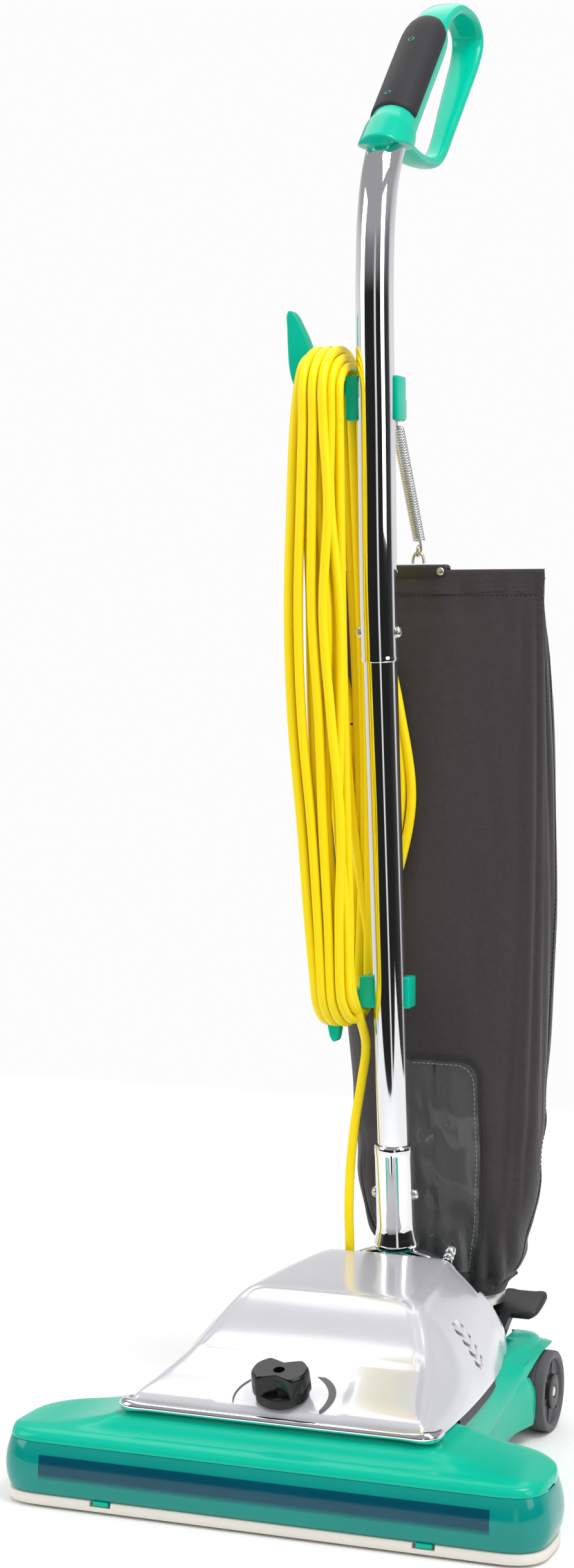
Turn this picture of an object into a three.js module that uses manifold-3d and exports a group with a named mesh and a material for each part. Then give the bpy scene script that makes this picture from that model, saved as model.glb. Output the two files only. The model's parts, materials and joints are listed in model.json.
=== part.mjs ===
// Upright commercial vacuum cleaner with a shake-out cloth bag.
// Millimetres, +Z up, front of the machine towards -Y, the handle tube in the plane X = 0.
import * as THREE from "three";
import { mergeVertices } from "three/addons/utils/BufferGeometryUtils.js";
import Module from "manifold-3d";

const wasm = await Module();
wasm.setup();

// ---------------------------------------------------------------- driving dimensions
const SHIFT_Y = 57.2; // brings the middle of the object's length to Y = 0
const HALF_W = 219; // half width of the nozzle
const FRONT_Y = -312.5; // front edge of the nozzle
const NOZZLE_BACK_Y = -208; // back edge of the nozzle wings
const WING_Z = 62; // top of the nozzle wings
const DECK_Z = 74.5; // top of the deck under the hood
const WINDOW_Z0 = 10.8; // translucent front window, bottom and top
const WINDOW_Z1 = 51.2;
const GUARD_Z0 = 2; // furniture guard strip
const GUARD_Z1 = 10.4;
const HOOD_Z0 = 75.2; // bottom rim of the motor hood
const HOOD_FRONT_Y = -279;
const HOOD_WALL = 2.4;
const BRUSH = { y: -270, z: 24, r: 15, half: 184 };
const SHAFT = { z: 72, r: 4 }; // motor axis, along Y at X = 0
const WHEEL = { x0: 117, x1: 135, y: 30, r: 34.5 }; // rear wheel
const FWHEEL = { x: 66, y: -196, r: 12, w: 12 }; // front roller
const PIVOT = { y: 14, z: 72 }; // handle pivot
const TUBE_LOW_R = 14.3;
const TUBE_UP_R = 15.9;
const CORD_R = 4.15;

// ---------------------------------------------------------------- colours
const M = (c, r, m = 0, o = 1) =>
  new THREE.MeshStandardMaterial({ color: c, roughness: r, metalness: m, opacity: o, transparent: o < 1 });
const GREEN = M(0x00a982, 0.25);
const TEAL = M(0x007d76, 0.15, 0, 0.6);
const GREY = M(0xdfe0e4, 0.18, 0.4);
const SIDE = M(0x86a8a2, 0.4);
const CHROME = M(0xe8e8ea, 0.06, 1);
const STEEL = M(0xb0b2b4, 0.35, 1);
const BLACK = M(0x2a2a2c, 0.45);
const RUBBER = M(0x2c2b2d, 0.8);
const WHEELGREY = M(0x5c5a5c, 0.55);
const GUARD = M(0xe1dcd4, 0.5);
const YELLOW = M(0xffd800, 0.4);
const CLOTH = M(0x3a3638, 0.95);
const BRONZE = M(0x8a6a30, 0.5, 0.8);
const BRISTLE = M(0x1d1d1f, 0.9);
const ALU = M(0xa9abad, 0.45, 0.9);

const root = new THREE.Group();
root.name = "upright_vacuum_cleaner";
const machine = new THREE.Group();
machine.position.set(0, SHIFT_Y, 0);
root.add(machine);

// ---------------------------------------------------------------- solid helpers
const V = (x, y, z) => new THREE.Vector3(x, y, z);
function solid(geo, matrix) {
  let g = geo.index ? geo.toNonIndexed() : geo.clone();
  for (const k of Object.keys(g.attributes)) if (k !== "position") g.deleteAttribute(k);
  if (matrix) g.applyMatrix4(matrix);
  g = mergeVertices(g, 1e-4);
  const tri = new Uint32Array(g.index.array);
  const keep = [];
  for (let i = 0; i < tri.length; i += 3)
    if (tri[i] !== tri[i + 1] && tri[i + 1] !== tri[i + 2] && tri[i] !== tri[i + 2])
      keep.push(tri[i], tri[i + 1], tri[i + 2]);
  const make = (t) =>
    new wasm.Manifold(new wasm.Mesh({ numProp: 3, vertProperties: new Float32Array(g.attributes.position.array), triVerts: new Uint32Array(t) }));
  const p = g.attributes.position.array;
  let vol = 0;
  for (let i = 0; i < keep.length; i += 3) {
    const a = keep[i] * 3, b = keep[i + 1] * 3, c = keep[i + 2] * 3;
    vol +=
      p[a] * (p[b + 1] * p[c + 2] - p[b + 2] * p[c + 1]) -
      p[a + 1] * (p[b] * p[c + 2] - p[b + 2] * p[c]) +
      p[a + 2] * (p[b] * p[c + 1] - p[b + 1] * p[c]);
  }
  if (vol < 0) for (let i = 0; i < keep.length; i += 3) [keep[i + 1], keep[i + 2]] = [keep[i + 2], keep[i + 1]];
  return make(keep);
}
function place(name, s, material) {
  const m = s.getMesh();
  const n = m.numProp;
  const v = new Float32Array(m.numVert * 3);
  for (let i = 0; i < m.numVert; i++) v.set(m.vertProperties.subarray(i * n, i * n + 3), i * 3);
  const g = new THREE.BufferGeometry()
    .setAttribute("position", new THREE.BufferAttribute(v, 3))
    .setIndex(new THREE.BufferAttribute(new Uint32Array(m.triVerts), 1));
  const mesh = new THREE.Mesh(g, material);
  mesh.name = name;
  machine.add(mesh);
  return mesh;
}
const add = (...s) => s.reduce((a, b) => a.add(b));
const cut = (a, ...s) => s.reduce((x, b) => x.subtract(b), a);
function box(x0, x1, y0, y1, z0, z1) {
  return solid(new THREE.BoxGeometry(x1 - x0, y1 - y0, z1 - z0), new THREE.Matrix4().makeTranslation((x0 + x1) / 2, (y0 + y1) / 2, (z0 + z1) / 2));
}
// Turns the Y axis of a three.js solid of revolution to the direction d and moves it to p.
function along(p, d, spin = 0) {
  const q = new THREE.Quaternion().setFromUnitVectors(V(0, 1, 0), d.clone().normalize());
  return new THREE.Matrix4().compose(p, q, V(1, 1, 1)).multiply(new THREE.Matrix4().makeRotationY(spin));
}
// Round parts are drawn with an even share of their nominal facets.
const facets = (n) => Math.max(8, 2 * Math.round(n * 0.33));
const largest = (s) => s.decompose().reduce((a, b) => (b.volume() > a.volume() ? b : a));
function rod(p0, p1, r0, seg = 24, r1 = r0, spin = 0) {
  const d = p1.clone().sub(p0);
  return solid(new THREE.CylinderGeometry(r1, r0, d.length(), facets(seg)), along(p0.clone().add(p1).multiplyScalar(0.5), d, spin));
}
// profile: [radius, height] pairs along the direction d from p, from the axis to the axis, or closed on itself.
function turned(profile, p, d, seg = 32, spin = 0) {
  return solid(new THREE.LatheGeometry(profile.map(([r, h]) => new THREE.Vector2(r, h)), facets(seg)), along(p, d, spin));
}
function ball(p, r, sx = 1, sy = 1, sz = 1, seg = 16) {
  return solid(new THREE.SphereGeometry(r, seg, Math.round(seg * 0.6)), new THREE.Matrix4().compose(p, new THREE.Quaternion(), V(sx, sy, sz)));
}
// A closed body through rings of equally many points; closed = true joins the last ring to the first.
function loft(rings, closed = false) {
  const n = rings[0].length, pos = [];
  const tri = (a, b, c) => pos.push(...a, ...b, ...c);
  const last = closed ? rings.length : rings.length - 1;
  for (let i = 0; i < last; i++) {
    const A = rings[i], B = rings[(i + 1) % rings.length];
    for (let j = 0; j < n; j++) {
      const k = (j + 1) % n;
      tri(A[j], A[k], B[k]);
      tri(A[j], B[k], B[j]);
    }
  }
  if (!closed) {
    const mid = (R) => [0, 1, 2].map((c) => R.reduce((s, q) => s + q[c], 0) / n);
    const a = rings[0], z = rings[rings.length - 1], ma = mid(a), mz = mid(z);
    for (let j = 0; j < n; j++) {
      const k = (j + 1) % n;
      tri(a[k], a[j], ma);
      tri(z[j], z[k], mz);
    }
  }
  return solid(new THREE.BufferGeometry().setAttribute("position", new THREE.BufferAttribute(new Float32Array(pos), 3)));
}
// Round bar along a list of points; one radius or one per point.
function bar(points, r, seg = 16, sx = 1) {
  const P = points.map((q) => (q.isVector3 ? q : V(...q)));
  const rings = [];
  let side = null;
  for (let i = 0; i < P.length; i++) {
    const t = P[Math.min(i + 1, P.length - 1)].clone().sub(P[Math.max(i - 1, 0)]).normalize();
    if (!side) side = Math.abs(t.x) < 0.9 ? V(1, 0, 0) : V(0, 1, 0);
    side = side.sub(t.clone().multiplyScalar(side.dot(t))).normalize();
    const up = t.clone().cross(side);
    const rr = Array.isArray(r) ? r[i] : r;
    const ring = [];
    for (let j = 0; j < seg; j++) {
      const a = (j / seg) * 2 * Math.PI;
      const q = P[i].clone().addScaledVector(side, rr * sx * Math.cos(a)).addScaledVector(up, rr * Math.sin(a));
      ring.push([q.x, q.y, q.z]);
    }
    rings.push(ring);
    side = side.clone();
  }
  return loft(rings);
}
const curve = (pts, n, t = 0.5) => new THREE.CatmullRomCurve3(pts.map((p) => V(...p)), false, "centripetal", t).getSpacedPoints(n);
const lerpTable = (table, u) => {
  if (u <= table[0][0]) return table[0].slice(1);
  for (let i = 1; i < table.length; i++)
    if (u <= table[i][0]) {
      const a = table[i - 1], b = table[i], f = (u - a[0]) / (b[0] - a[0]);
      return a.slice(1).map((v, k) => v + (b[k + 1] - v) * f);
    }
  return table[table.length - 1].slice(1);
};

// ---------------------------------------------------------------- nozzle plan
// Right half of the nozzle's plan, from the middle of the front to the middle of the back.
const PLAN_R = [
  [0, FRONT_Y], [100, FRONT_Y], [190, FRONT_Y], [200, -311.8], [208, -308.8], [214, -303], [217.8, -295], [HALF_W, -284],
  [HALF_W, -262], [217.5, -250], [213.5, -238], [205, -226], [195, -216.5], [183, -210], [170, NOZZLE_BACK_Y], [90, NOZZLE_BACK_Y], [0, NOZZLE_BACK_Y],
];
function planOutline(off = 0) {
  const P = [...PLAN_R.map((p) => [...p]), ...PLAN_R.slice(1, -1).reverse().map(([x, y]) => [-x, y])];
  const n = P.length;
  return P.map((p, i) => {
    const a = P[(i + n - 1) % n], b = P[(i + 1) % n];
    const n1 = [p[1] - a[1], -(p[0] - a[0])], n2 = [b[1] - p[1], -(b[0] - p[0])];
    const l1 = Math.hypot(...n1), l2 = Math.hypot(...n2);
    const m = [n1[0] / l1 + n2[0] / l2, n1[1] / l1 + n2[1] / l2];
    const k = off / Math.max(0.3, (m[0] * m[0] + m[1] * m[1]) / 2);
    return [p[0] + m[0] * k, p[1] + m[1] * k];
  });
}
const level = (off, z) => planOutline(off).map(([x, y]) => [x, y, z]);

// ---------------------------------------------------------------- nozzle housing
{
  // Sections across X: front edge, back edge and top height at each |x|.
  const T = [
    [0, FRONT_Y, -208, DECK_Z], [126, FRONT_Y, -208, DECK_Z], [140, FRONT_Y, -208, 71], [155, FRONT_Y, -208, 66.5],
    [170, FRONT_Y, -208.2, 63.5], [186, FRONT_Y, -211, WING_Z], [197, -312, -218, WING_Z - 0.6], [206, -309.6, -227.5, WING_Z - 1.6],
    [213, -304.5, -237.5, WING_Z - 2.6], [217, -297, -249, WING_Z - 3.4], [HALF_W, -286, -262, WING_Z - 4],
  ];
  const section = (x, inset, zb) => {
    const [f, b, t] = lerpTable(T, Math.abs(x));
    const rise = t - WING_Z > 0 ? t - WING_Z : 0;
    const F = f + inset, B = b - inset, Z = t - inset;
    const zf = Math.min(WING_Z, t) - inset;
    const q = Math.min(1, (B - F) / 90);
    return [
      [x, F, zb], [x, F, WINDOW_Z1 + 0.4 - inset * 0.3], [x, F + 1.6 * q, zf - 5.6], [x, F + 5.5 * q, zf - 2.6], [x, F + 12 * q, zf - 0.4],
      [x, F + 19 * q, zf + rise * 0.35], [x, F + 31 * q, zf + rise * 0.93], [x, F + 40 * q, Z], [x, (F + B) / 2 + 8 * q, Z], [x, B - 7 * q, Z], [x, B - 2 * q, Z - 2.2], [x, B, Z - 7], [x, B, zb],
    ];
  };
  const xs = [219, 217, 213, 206, 197, 186, 170, 155, 140, 126];
  const all = [...xs.map((x) => -x), 0, ...xs.slice().reverse()];
  const outer = loft(all.map((x) => section(x, 0, 12.4)));
  const xi = [215.6, 212, 206, 197, 186, 170, 155, 140, 126];
  const inner = loft([...xi.map((x) => -x), 0, ...xi.slice().reverse()].map((x) => section(x, 3, 5)));
  let s = cut(outer, inner);
  s = cut(s, box(-230, 230, -330, -224, 0, WINDOW_Z1 + 0.4)); // open behind the window
  s = cut(s, box(-62, 62, -276, -200, 40, 90)); // opening over the belt and the fan housing
  s = cut(s, box(-112, 112, -215, -200, 0, 90)); // passage to the motor bay
  place("nozzle_housing", largest(s), GREEN);
}

// ---------------------------------------------------------------- translucent window
{
  const Z = [[WINDOW_Z0, 0], [20, 3.4], [32, 4.8], [44, 3], [WINDOW_Z1, 0]];
  const outer = loft(Z.map(([z, o]) => level(o, z)));
  const inner = loft([level(-3, WINDOW_Z0 - 2), ...Z.map(([z, o]) => level(o - 3, z)), level(-3, WINDOW_Z1 + 2)]);
  place("front_window", cut(outer, inner, box(-230, 230, -224.4, -190, 0, 70)), TEAL);
}
// ---------------------------------------------------------------- furniture guard with two snap notches
{
  const outer = loft([level(0.2, GUARD_Z0), level(2, GUARD_Z0 + 2), level(2, GUARD_Z1 - 1.5), level(1, GUARD_Z1)]);
  const inner = loft([level(-5, GUARD_Z0 - 1), level(-5, GUARD_Z1 + 1)]);
  let s = cut(outer, inner, box(-230, 230, -224.4, -190, 0, 30));
  for (const k of [-1, 1]) s = cut(s, box(k * 132 - 9, k * 132 + 9, -330, -300, 6.4, 20));
  place("furniture_guard", s, GUARD);
}
// ---------------------------------------------------------------- bottom plate with the suction mouth
{
  let s = loft([level(-6, 5), level(-6, 7.2)]);
  s = cut(s, box(-186, 186, -297, -250, 0, 20));
  s = cut(s, box(-230, 230, -211, -190, 0, 20));
  s = cut(s, box(-50, 50, -216, -200, 0, 20));
  place("bottom_plate", s, STEEL);
}
place("magnet_bar", box(-183, 183, -306, -300.5, 32.5, 43.5), STEEL);

// ---------------------------------------------------------------- brush roll
{
  const P = V(-BRUSH.half, BRUSH.y, BRUSH.z), d = V(1, 0, 0), L = 2 * BRUSH.half;
  const s = turned(
    [[0, -10], [4, -10], [4, 0], [BRUSH.r, 0], [BRUSH.r, L / 2 - 12], [12.5, L / 2 - 10], [12.5, L / 2 + 10], [BRUSH.r, L / 2 + 12], [BRUSH.r, L], [4, L], [4, L + 10], [0, L + 10]],
    P, d, 24);
  place("brush_roll", s, STEEL);
  for (const [name, a0] of [["bristle_strip", 0.3]]) {
    for (const side of [-1, 1]) {
      const rings = [];
      for (let i = 0; i <= 8; i++) {
        const x = side * (18 + (i / 8) * 160), a = a0 + side * (i / 8) * 1.1;
        const ring = [[15.35, -0.12], [15.35, 0.12], [20.8, 0.1], [20.8, -0.1]].map(([r, da]) => [x, BRUSH.y + r * Math.cos(a + da), BRUSH.z + r * Math.sin(a + da)]);
        rings.push(ring);
      }
      place(name + (side < 0 ? "_left" : "_right"), loft(rings), BRISTLE);
    }
  }
  for (const k of [-1, 1])
    place(k < 0 ? "brush_bearing_left" : "brush_bearing_right",
      cut(box(Math.min(k * 188, k * 200), Math.max(k * 188, k * 200), BRUSH.y - 12, BRUSH.y + 12, 8, 40), rod(V(k * 180, BRUSH.y, BRUSH.z), V(k * 210, BRUSH.y, BRUSH.z), 4.15, 24)), BLACK);
}

// ---------------------------------------------------------------- quarter-turn belt between the motor shaft and the brush roll
{
  const yS = -218, zS = SHAFT.z, rs = 8.0, rb = 14.3, w = 7, t = 1.1;
  const rings = [];
  const rect = (p, wd, td) => [[-1, -1], [1, -1], [1, 1], [-1, 1]].map(([a, b]) => {
    const q = p.clone().addScaledVector(wd, a * w).addScaledVector(td, b * t);
    return [q.x, q.y, q.z];
  });
  const bd = V(0, yS - BRUSH.y, zS - BRUSH.z).normalize(); // from the roll to the shaft
  const bn = V(0, -bd.z, bd.y);
  // round the roll: from the side of +bn, round the far side, to -bn; the belt's width lies along X
  for (let i = 0; i <= 8; i++) {
    const a = Math.PI / 2 + (i / 8) * Math.PI;
    const r = bd.clone().multiplyScalar(Math.cos(a)).addScaledVector(bn, Math.sin(a));
    rings.push(rect(V(0, BRUSH.y, BRUSH.z).addScaledVector(r, rb), V(1, 0, 0), r));
  }
  // strand from -bn of the roll to the -X side of the shaft; the width turns from X to Y
  const strand = (p0, w0, t0, p1, w1, t1) => {
    for (let i = 1; i < 6; i++) {
      const f = i / 6, p = p0.clone().lerp(p1, f), wd = w0.clone().multiplyScalar(Math.cos((f * Math.PI) / 2)).addScaledVector(w1, Math.sin((f * Math.PI) / 2)).normalize();
      const tg = p1.clone().sub(p0).normalize();
      wd.sub(tg.clone().multiplyScalar(wd.dot(tg) * f * (1 - f) * 4)).normalize();
      const td = t0.clone().multiplyScalar(Math.cos((f * Math.PI) / 2)).addScaledVector(t1, Math.sin((f * Math.PI) / 2));
      td.sub(wd.clone().multiplyScalar(td.dot(wd))).normalize();
      rings.push(rect(p, wd, td));
    }
  };
  const rollEnd = V(0, BRUSH.y, BRUSH.z).addScaledVector(bn, -rb);
  const rollStart = V(0, BRUSH.y, BRUSH.z).addScaledVector(bn, rb);
  const S = (a) => V(rs * Math.cos(a), yS, zS + rs * Math.sin(a));
  strand(rollEnd, V(1, 0, 0), bn.clone().negate(), S(Math.PI), V(0, 1, 0), V(-1, 0, 0));
  for (let i = 0; i <= 8; i++) {
    const a = Math.PI - (i / 8) * Math.PI;
    rings.push(rect(S(a), V(0, 1, 0), V(Math.cos(a), 0, Math.sin(a))));
  }
  strand(S(0), V(0, 1, 0), V(1, 0, 0), rollStart, V(1, 0, 0), bn.clone());
  // the last strand runs back with the width reversed, as a quarter-turn belt does
  place("drive_belt", loft(rings, true), RUBBER);
}

// ---------------------------------------------------------------- motor, fan and exhaust
place("motor_shaft", add(rod(V(0, -229, SHAFT.z), V(0, -26, SHAFT.z), SHAFT.r, 16), rod(V(0, -227, SHAFT.z), V(0, -209, SHAFT.z), 6.2, 20), rod(V(0, -118, SHAFT.z), V(0, -62, SHAFT.z), 27, 24)), STEEL);
{
  const fan = turned([[4.3, 0], [12, 0], [12, 14], [42, 17], [42, 19.5], [4.3, 19.5], [4.3, 0]], V(0, -171, SHAFT.z), V(0, 1, 0), 32);
  const blades = [];
  for (let i = 0; i < 6; i++) {
    const a = (i / 6) * 2 * Math.PI;
    const m = new THREE.Matrix4().makeTranslation(0, -163, SHAFT.z).multiply(new THREE.Matrix4().makeRotationY(a)).multiply(new THREE.Matrix4().makeTranslation(25, 0, 0)).multiply(new THREE.Matrix4().makeRotationY(0.35));
    blades.push(solid(new THREE.BoxGeometry(30, 15.5, 1.6), m));
  }
  place("suction_fan", add(fan, ...blades), BLACK);
}
{
  // drum round the fan, open at the front eye and to the exhaust duct
  let s = turned([[15, 0], [49, 0], [49, 34], [45.4, 34], [45.4, 3], [15, 3], [15, 0]], V(0, -179, SHAFT.z), V(0, 1, 0), 40);
  s = cut(s, box(30, 62, -166, -150, SHAFT.z - 18, SHAFT.z + 8));
  place("fan_housing", s, BLACK);
}
{
  let s = turned([[0, 0], [50, 0], [50, 6], [44, 8], [44, 96], [0, 96], [0, 0]], V(0, -144.4, SHAFT.z), V(0, 1, 0), 40);
  s = cut(s, turned([[0, 0], [34, 0], [34, 110], [0, 110], [0, 0]], V(0, -134, SHAFT.z), V(0, 1, 0), 32));
  s = cut(s, rod(V(0, -150, SHAFT.z), V(0, -120, SHAFT.z), 5, 20));
  place("motor_case", s, ALU);
}
{
  let s = turned([[0, 0], [44, 0], [42, 9], [30, 14], [0, 14], [0, 0]], V(0, -48, SHAFT.z), V(0, 1, 0), 40);
  s = cut(s, rod(V(0, -50, SHAFT.z), V(0, -30, SHAFT.z), 5, 20));
  for (let i = 0; i < 5; i++) {
    const a = (i / 5) * 2 * Math.PI + 0.39;
    s = cut(s, rod(V(22 * Math.cos(a), -60, SHAFT.z + 22 * Math.sin(a)), V(22 * Math.cos(a), -20, SHAFT.z + 22 * Math.sin(a)), 5, 12));
  }
  place("motor_end_cap", s, BLACK);
}
{
  // duct from the fan drum along the right side to the upright bag collar
  const path = curve([[52, -158, 66], [66, -154, 64], [72, -130, 62], [72, -70, 62], [66, -42, 62], [48, -18, 62], [34, 4, 60], [32, 26, 59], [35, 44, 60], [40, 61, 67], [42, 71, 80], [42, 72, 92]], 14);
  const rr = path.map((p) => (p.y < -20 ? 12.5 : p.y < 30 ? 13 : p.z < 66 ? 15 : p.z < 80 ? 19 : 24));
  const inner = rr.map((r) => r - 2);
  let s = cut(bar(path, rr, 14), bar([path[0].clone().add(V(-8, 0, 0)), ...path.slice(1, -1), path[path.length - 1].clone().add(V(0, 0, 5))], inner, 14));
  s = cut(s, rod(V(0, -182, SHAFT.z), V(0, -143.4, SHAFT.z), 50, 60));
  place("exhaust_duct", largest(s), BLACK);
}
place("bag_collar_clamp", turned([[33.2, 0], [35.2, 0], [35.2, 9], [33.2, 9], [33.2, 0]], V(42, 72, 97.5), V(0, 0, 1), 40), STEEL);

// ---------------------------------------------------------------- chassis and rear housing
{
  let s = box(-112, 112, -215.5, 58, 8, 11);
  s = cut(s, box(-82, 82, -214, -156, 0, 20)); // well of the front rollers
  s = cut(s, box(-60, 60, -230, -200, 0, 20));
  // saddles of the motor
  s = add(s, cut(box(-40, 40, -128, -120, 10.5, 50), rod(V(0, -140, SHAFT.z), V(0, -110, SHAFT.z), 44.4, 40)));
  s = add(s, cut(box(-40, 40, -66, -58, 10.5, 50), rod(V(0, -80, SHAFT.z), V(0, -50, SHAFT.z), 44.4, 40)));
  // axle bearers
  for (const k of [-1, 1]) {
    s = add(s, box(Math.min(k * 96, k * 104), Math.max(k * 96, k * 104), 20, 40, 10.5, 44));
    s = cut(s, rod(V(k * 90, WHEEL.y, WHEEL.r), V(k * 110, WHEEL.y, WHEEL.r), 5.3, 24));
    // bearers of the roller carriage pin
    s = add(s, box(Math.min(k * 84, k * 90), Math.max(k * 84, k * 90), -172, -158, 10.5, 26));
    s = cut(s, rod(V(k * 80, -165, 17), V(k * 95, -165, 17), 3.05, 20));
  }
  place("chassis_pan", s, STEEL);
}
{
  // Sections along Y: half width of the deck, half width below the edge, deck height, edge height.
  const T = [
    [-207.6, 108, 115, 74.5, 24], [-150, 108, 116, 74.5, 26], [-90, 107, 117, 74.5, 32], [-40, 106, 117, 74.5, 44], [0, 105, 116, 74.5, 56], [21, 104.4, 115.4, 74.5, 62],
    [32, 104, 115, 76, 64], [52, 103, 113, 76, 66], [64, 100, 110, 75, 64], [70, 94, 104, 70, 58],
  ];
  const ring = (y, inset, open) => {
    const [a, b, d, e] = lerpTable(T, y);
    const A = a - inset, B = b - inset, D = d - inset;
    const zl = open ? 2 : 12;
    const h = [[0, D], [A - 10, D], [A - 3, D - 1.2], [A + 1.5, D - 5], [B - 1, e + 12], [B, e + 7], [B, e], [B - (open ? 0 : 5), open ? e - 1 : e - 2.5], [B - (open ? 0 : 5), zl]];
    return [...h.map(([x, z]) => [x, y, z]), ...h.slice(1).reverse().map(([x, z]) => [-x, y, z])];
  };
  const ys = [-207.6, -150, -90, -40, 0, 21, 32, 52, 64, 70];
  const outer = loft(ys.map((y) => ring(y, 0, false)));
  const inner = loft([-215, -150, -90, -40, 0, 30, 52, 60, 65.5].map((y) => ring(Math.min(y, 66), 8, true).map(([x, , z]) => [x, y, z])));
  let s = cut(outer, inner);
  s = cut(s, box(-88, 88, -215, 58, 40, 90)); // bay for motor and handle fork, under the hood
  s = cut(s, box(-26, 92, 30, 66, 40, 90)); // bay of the exhaust collar
  s = cut(s, rod(V(42, 72, 40), V(42, 72, 95), 36.5, 40));
  for (const k of [-1, 1]) s = cut(s, rod(V(k * 90, WHEEL.y, WHEEL.r), V(k * 125, WHEEL.y, WHEEL.r), 5.6, 24));
  place("rear_housing", s, GREEN);
  for (const k of [-1, 1]) {
    const P = (x, inset) => [[-206, 10.2], [-206, 20], [-150, 22], [-90, 28], [-40, 40], [-2, 51], [6, 50], [12, 44], [12, 12.5], [8, 9.6], [-200, 8.4]].map(([y, z]) => [x, y, z]);
    place(k < 0 ? "side_panel_left" : "side_panel_right", loft([P(k * 112.4), P(k * 116.2)]), SIDE);
  }
}

// ---------------------------------------------------------------- rear wheels and axle
place("rear_axle", turned([[0, 0], [4.6, 0], [5.4, 1.2], [5.4, 2.6], [4.9, 3], [4.9, 268], [5.4, 268.4], [5.4, 269.8], [4.6, 271], [0, 271]], V(-135.5, WHEEL.y, WHEEL.r), V(1, 0, 0), 24), STEEL);
for (const k of [-1, 1]) {
  const r = WHEEL.r / Math.cos(Math.PI / facets(66)), w = WHEEL.x1 - WHEEL.x0;
  const s = turned([[5.6, 0], [r - 2.2, 0], [r, 2.8], [r, w - 2.8], [r - 2.2, w], [9.5, w], [9.5, w - 4], [5.6, w - 4], [5.6, 0]], V(k * WHEEL.x0, WHEEL.y, WHEEL.r), V(k, 0, 0), 66, Math.PI / facets(66));
  place(k < 0 ? "rear_wheel_left" : "rear_wheel_right", s, WHEELGREY);
}
// ---------------------------------------------------------------- front rollers on the height carriage
{
  const y = FWHEEL.y, z = FWHEEL.r;
  let s = box(-80, 80, -172, -160, 12.5, 21);
  s = cut(s, rod(V(-90, -165, 17), V(90, -165, 17), 3.2, 20));
  for (const k of [-1, 1]) {
    for (const x of [k * (FWHEEL.x - 10), k * (FWHEEL.x + 10)]) s = add(s, box(x - 2, x + 2, y - 7, -170, 7, 19));
    s = add(s, rod(V(k * (FWHEEL.x - 13), y, z), V(k * (FWHEEL.x + 13), y, z), 2.5, 16));
  }
  s = add(s, box(18, 26, -232, -170, 14.5, 18), box(18, 26, -238, -231, 14.5, 54), box(18, 26, -258, -231, 50, 54), box(18, 26, -258, -252, 50, 68)); // lever up to the dial cam
  place("front_carriage", s, STEEL);
  place("carriage_pin", rod(V(-92, -165, 17), V(92, -165, 17), 2.95, 20), STEEL);
  for (const k of [-1, 1]) {
    const r = FWHEEL.r / Math.cos(Math.PI / facets(36));
    place(k < 0 ? "front_roller_left" : "front_roller_right", turned([[2.8, 0], [r, 0], [r, FWHEEL.w], [2.8, FWHEEL.w], [2.8, 0]], V(k * FWHEEL.x - FWHEEL.w / 2, y, z), V(1, 0, 0), 36, Math.PI / facets(36)), RUBBER);
  }
}

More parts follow.
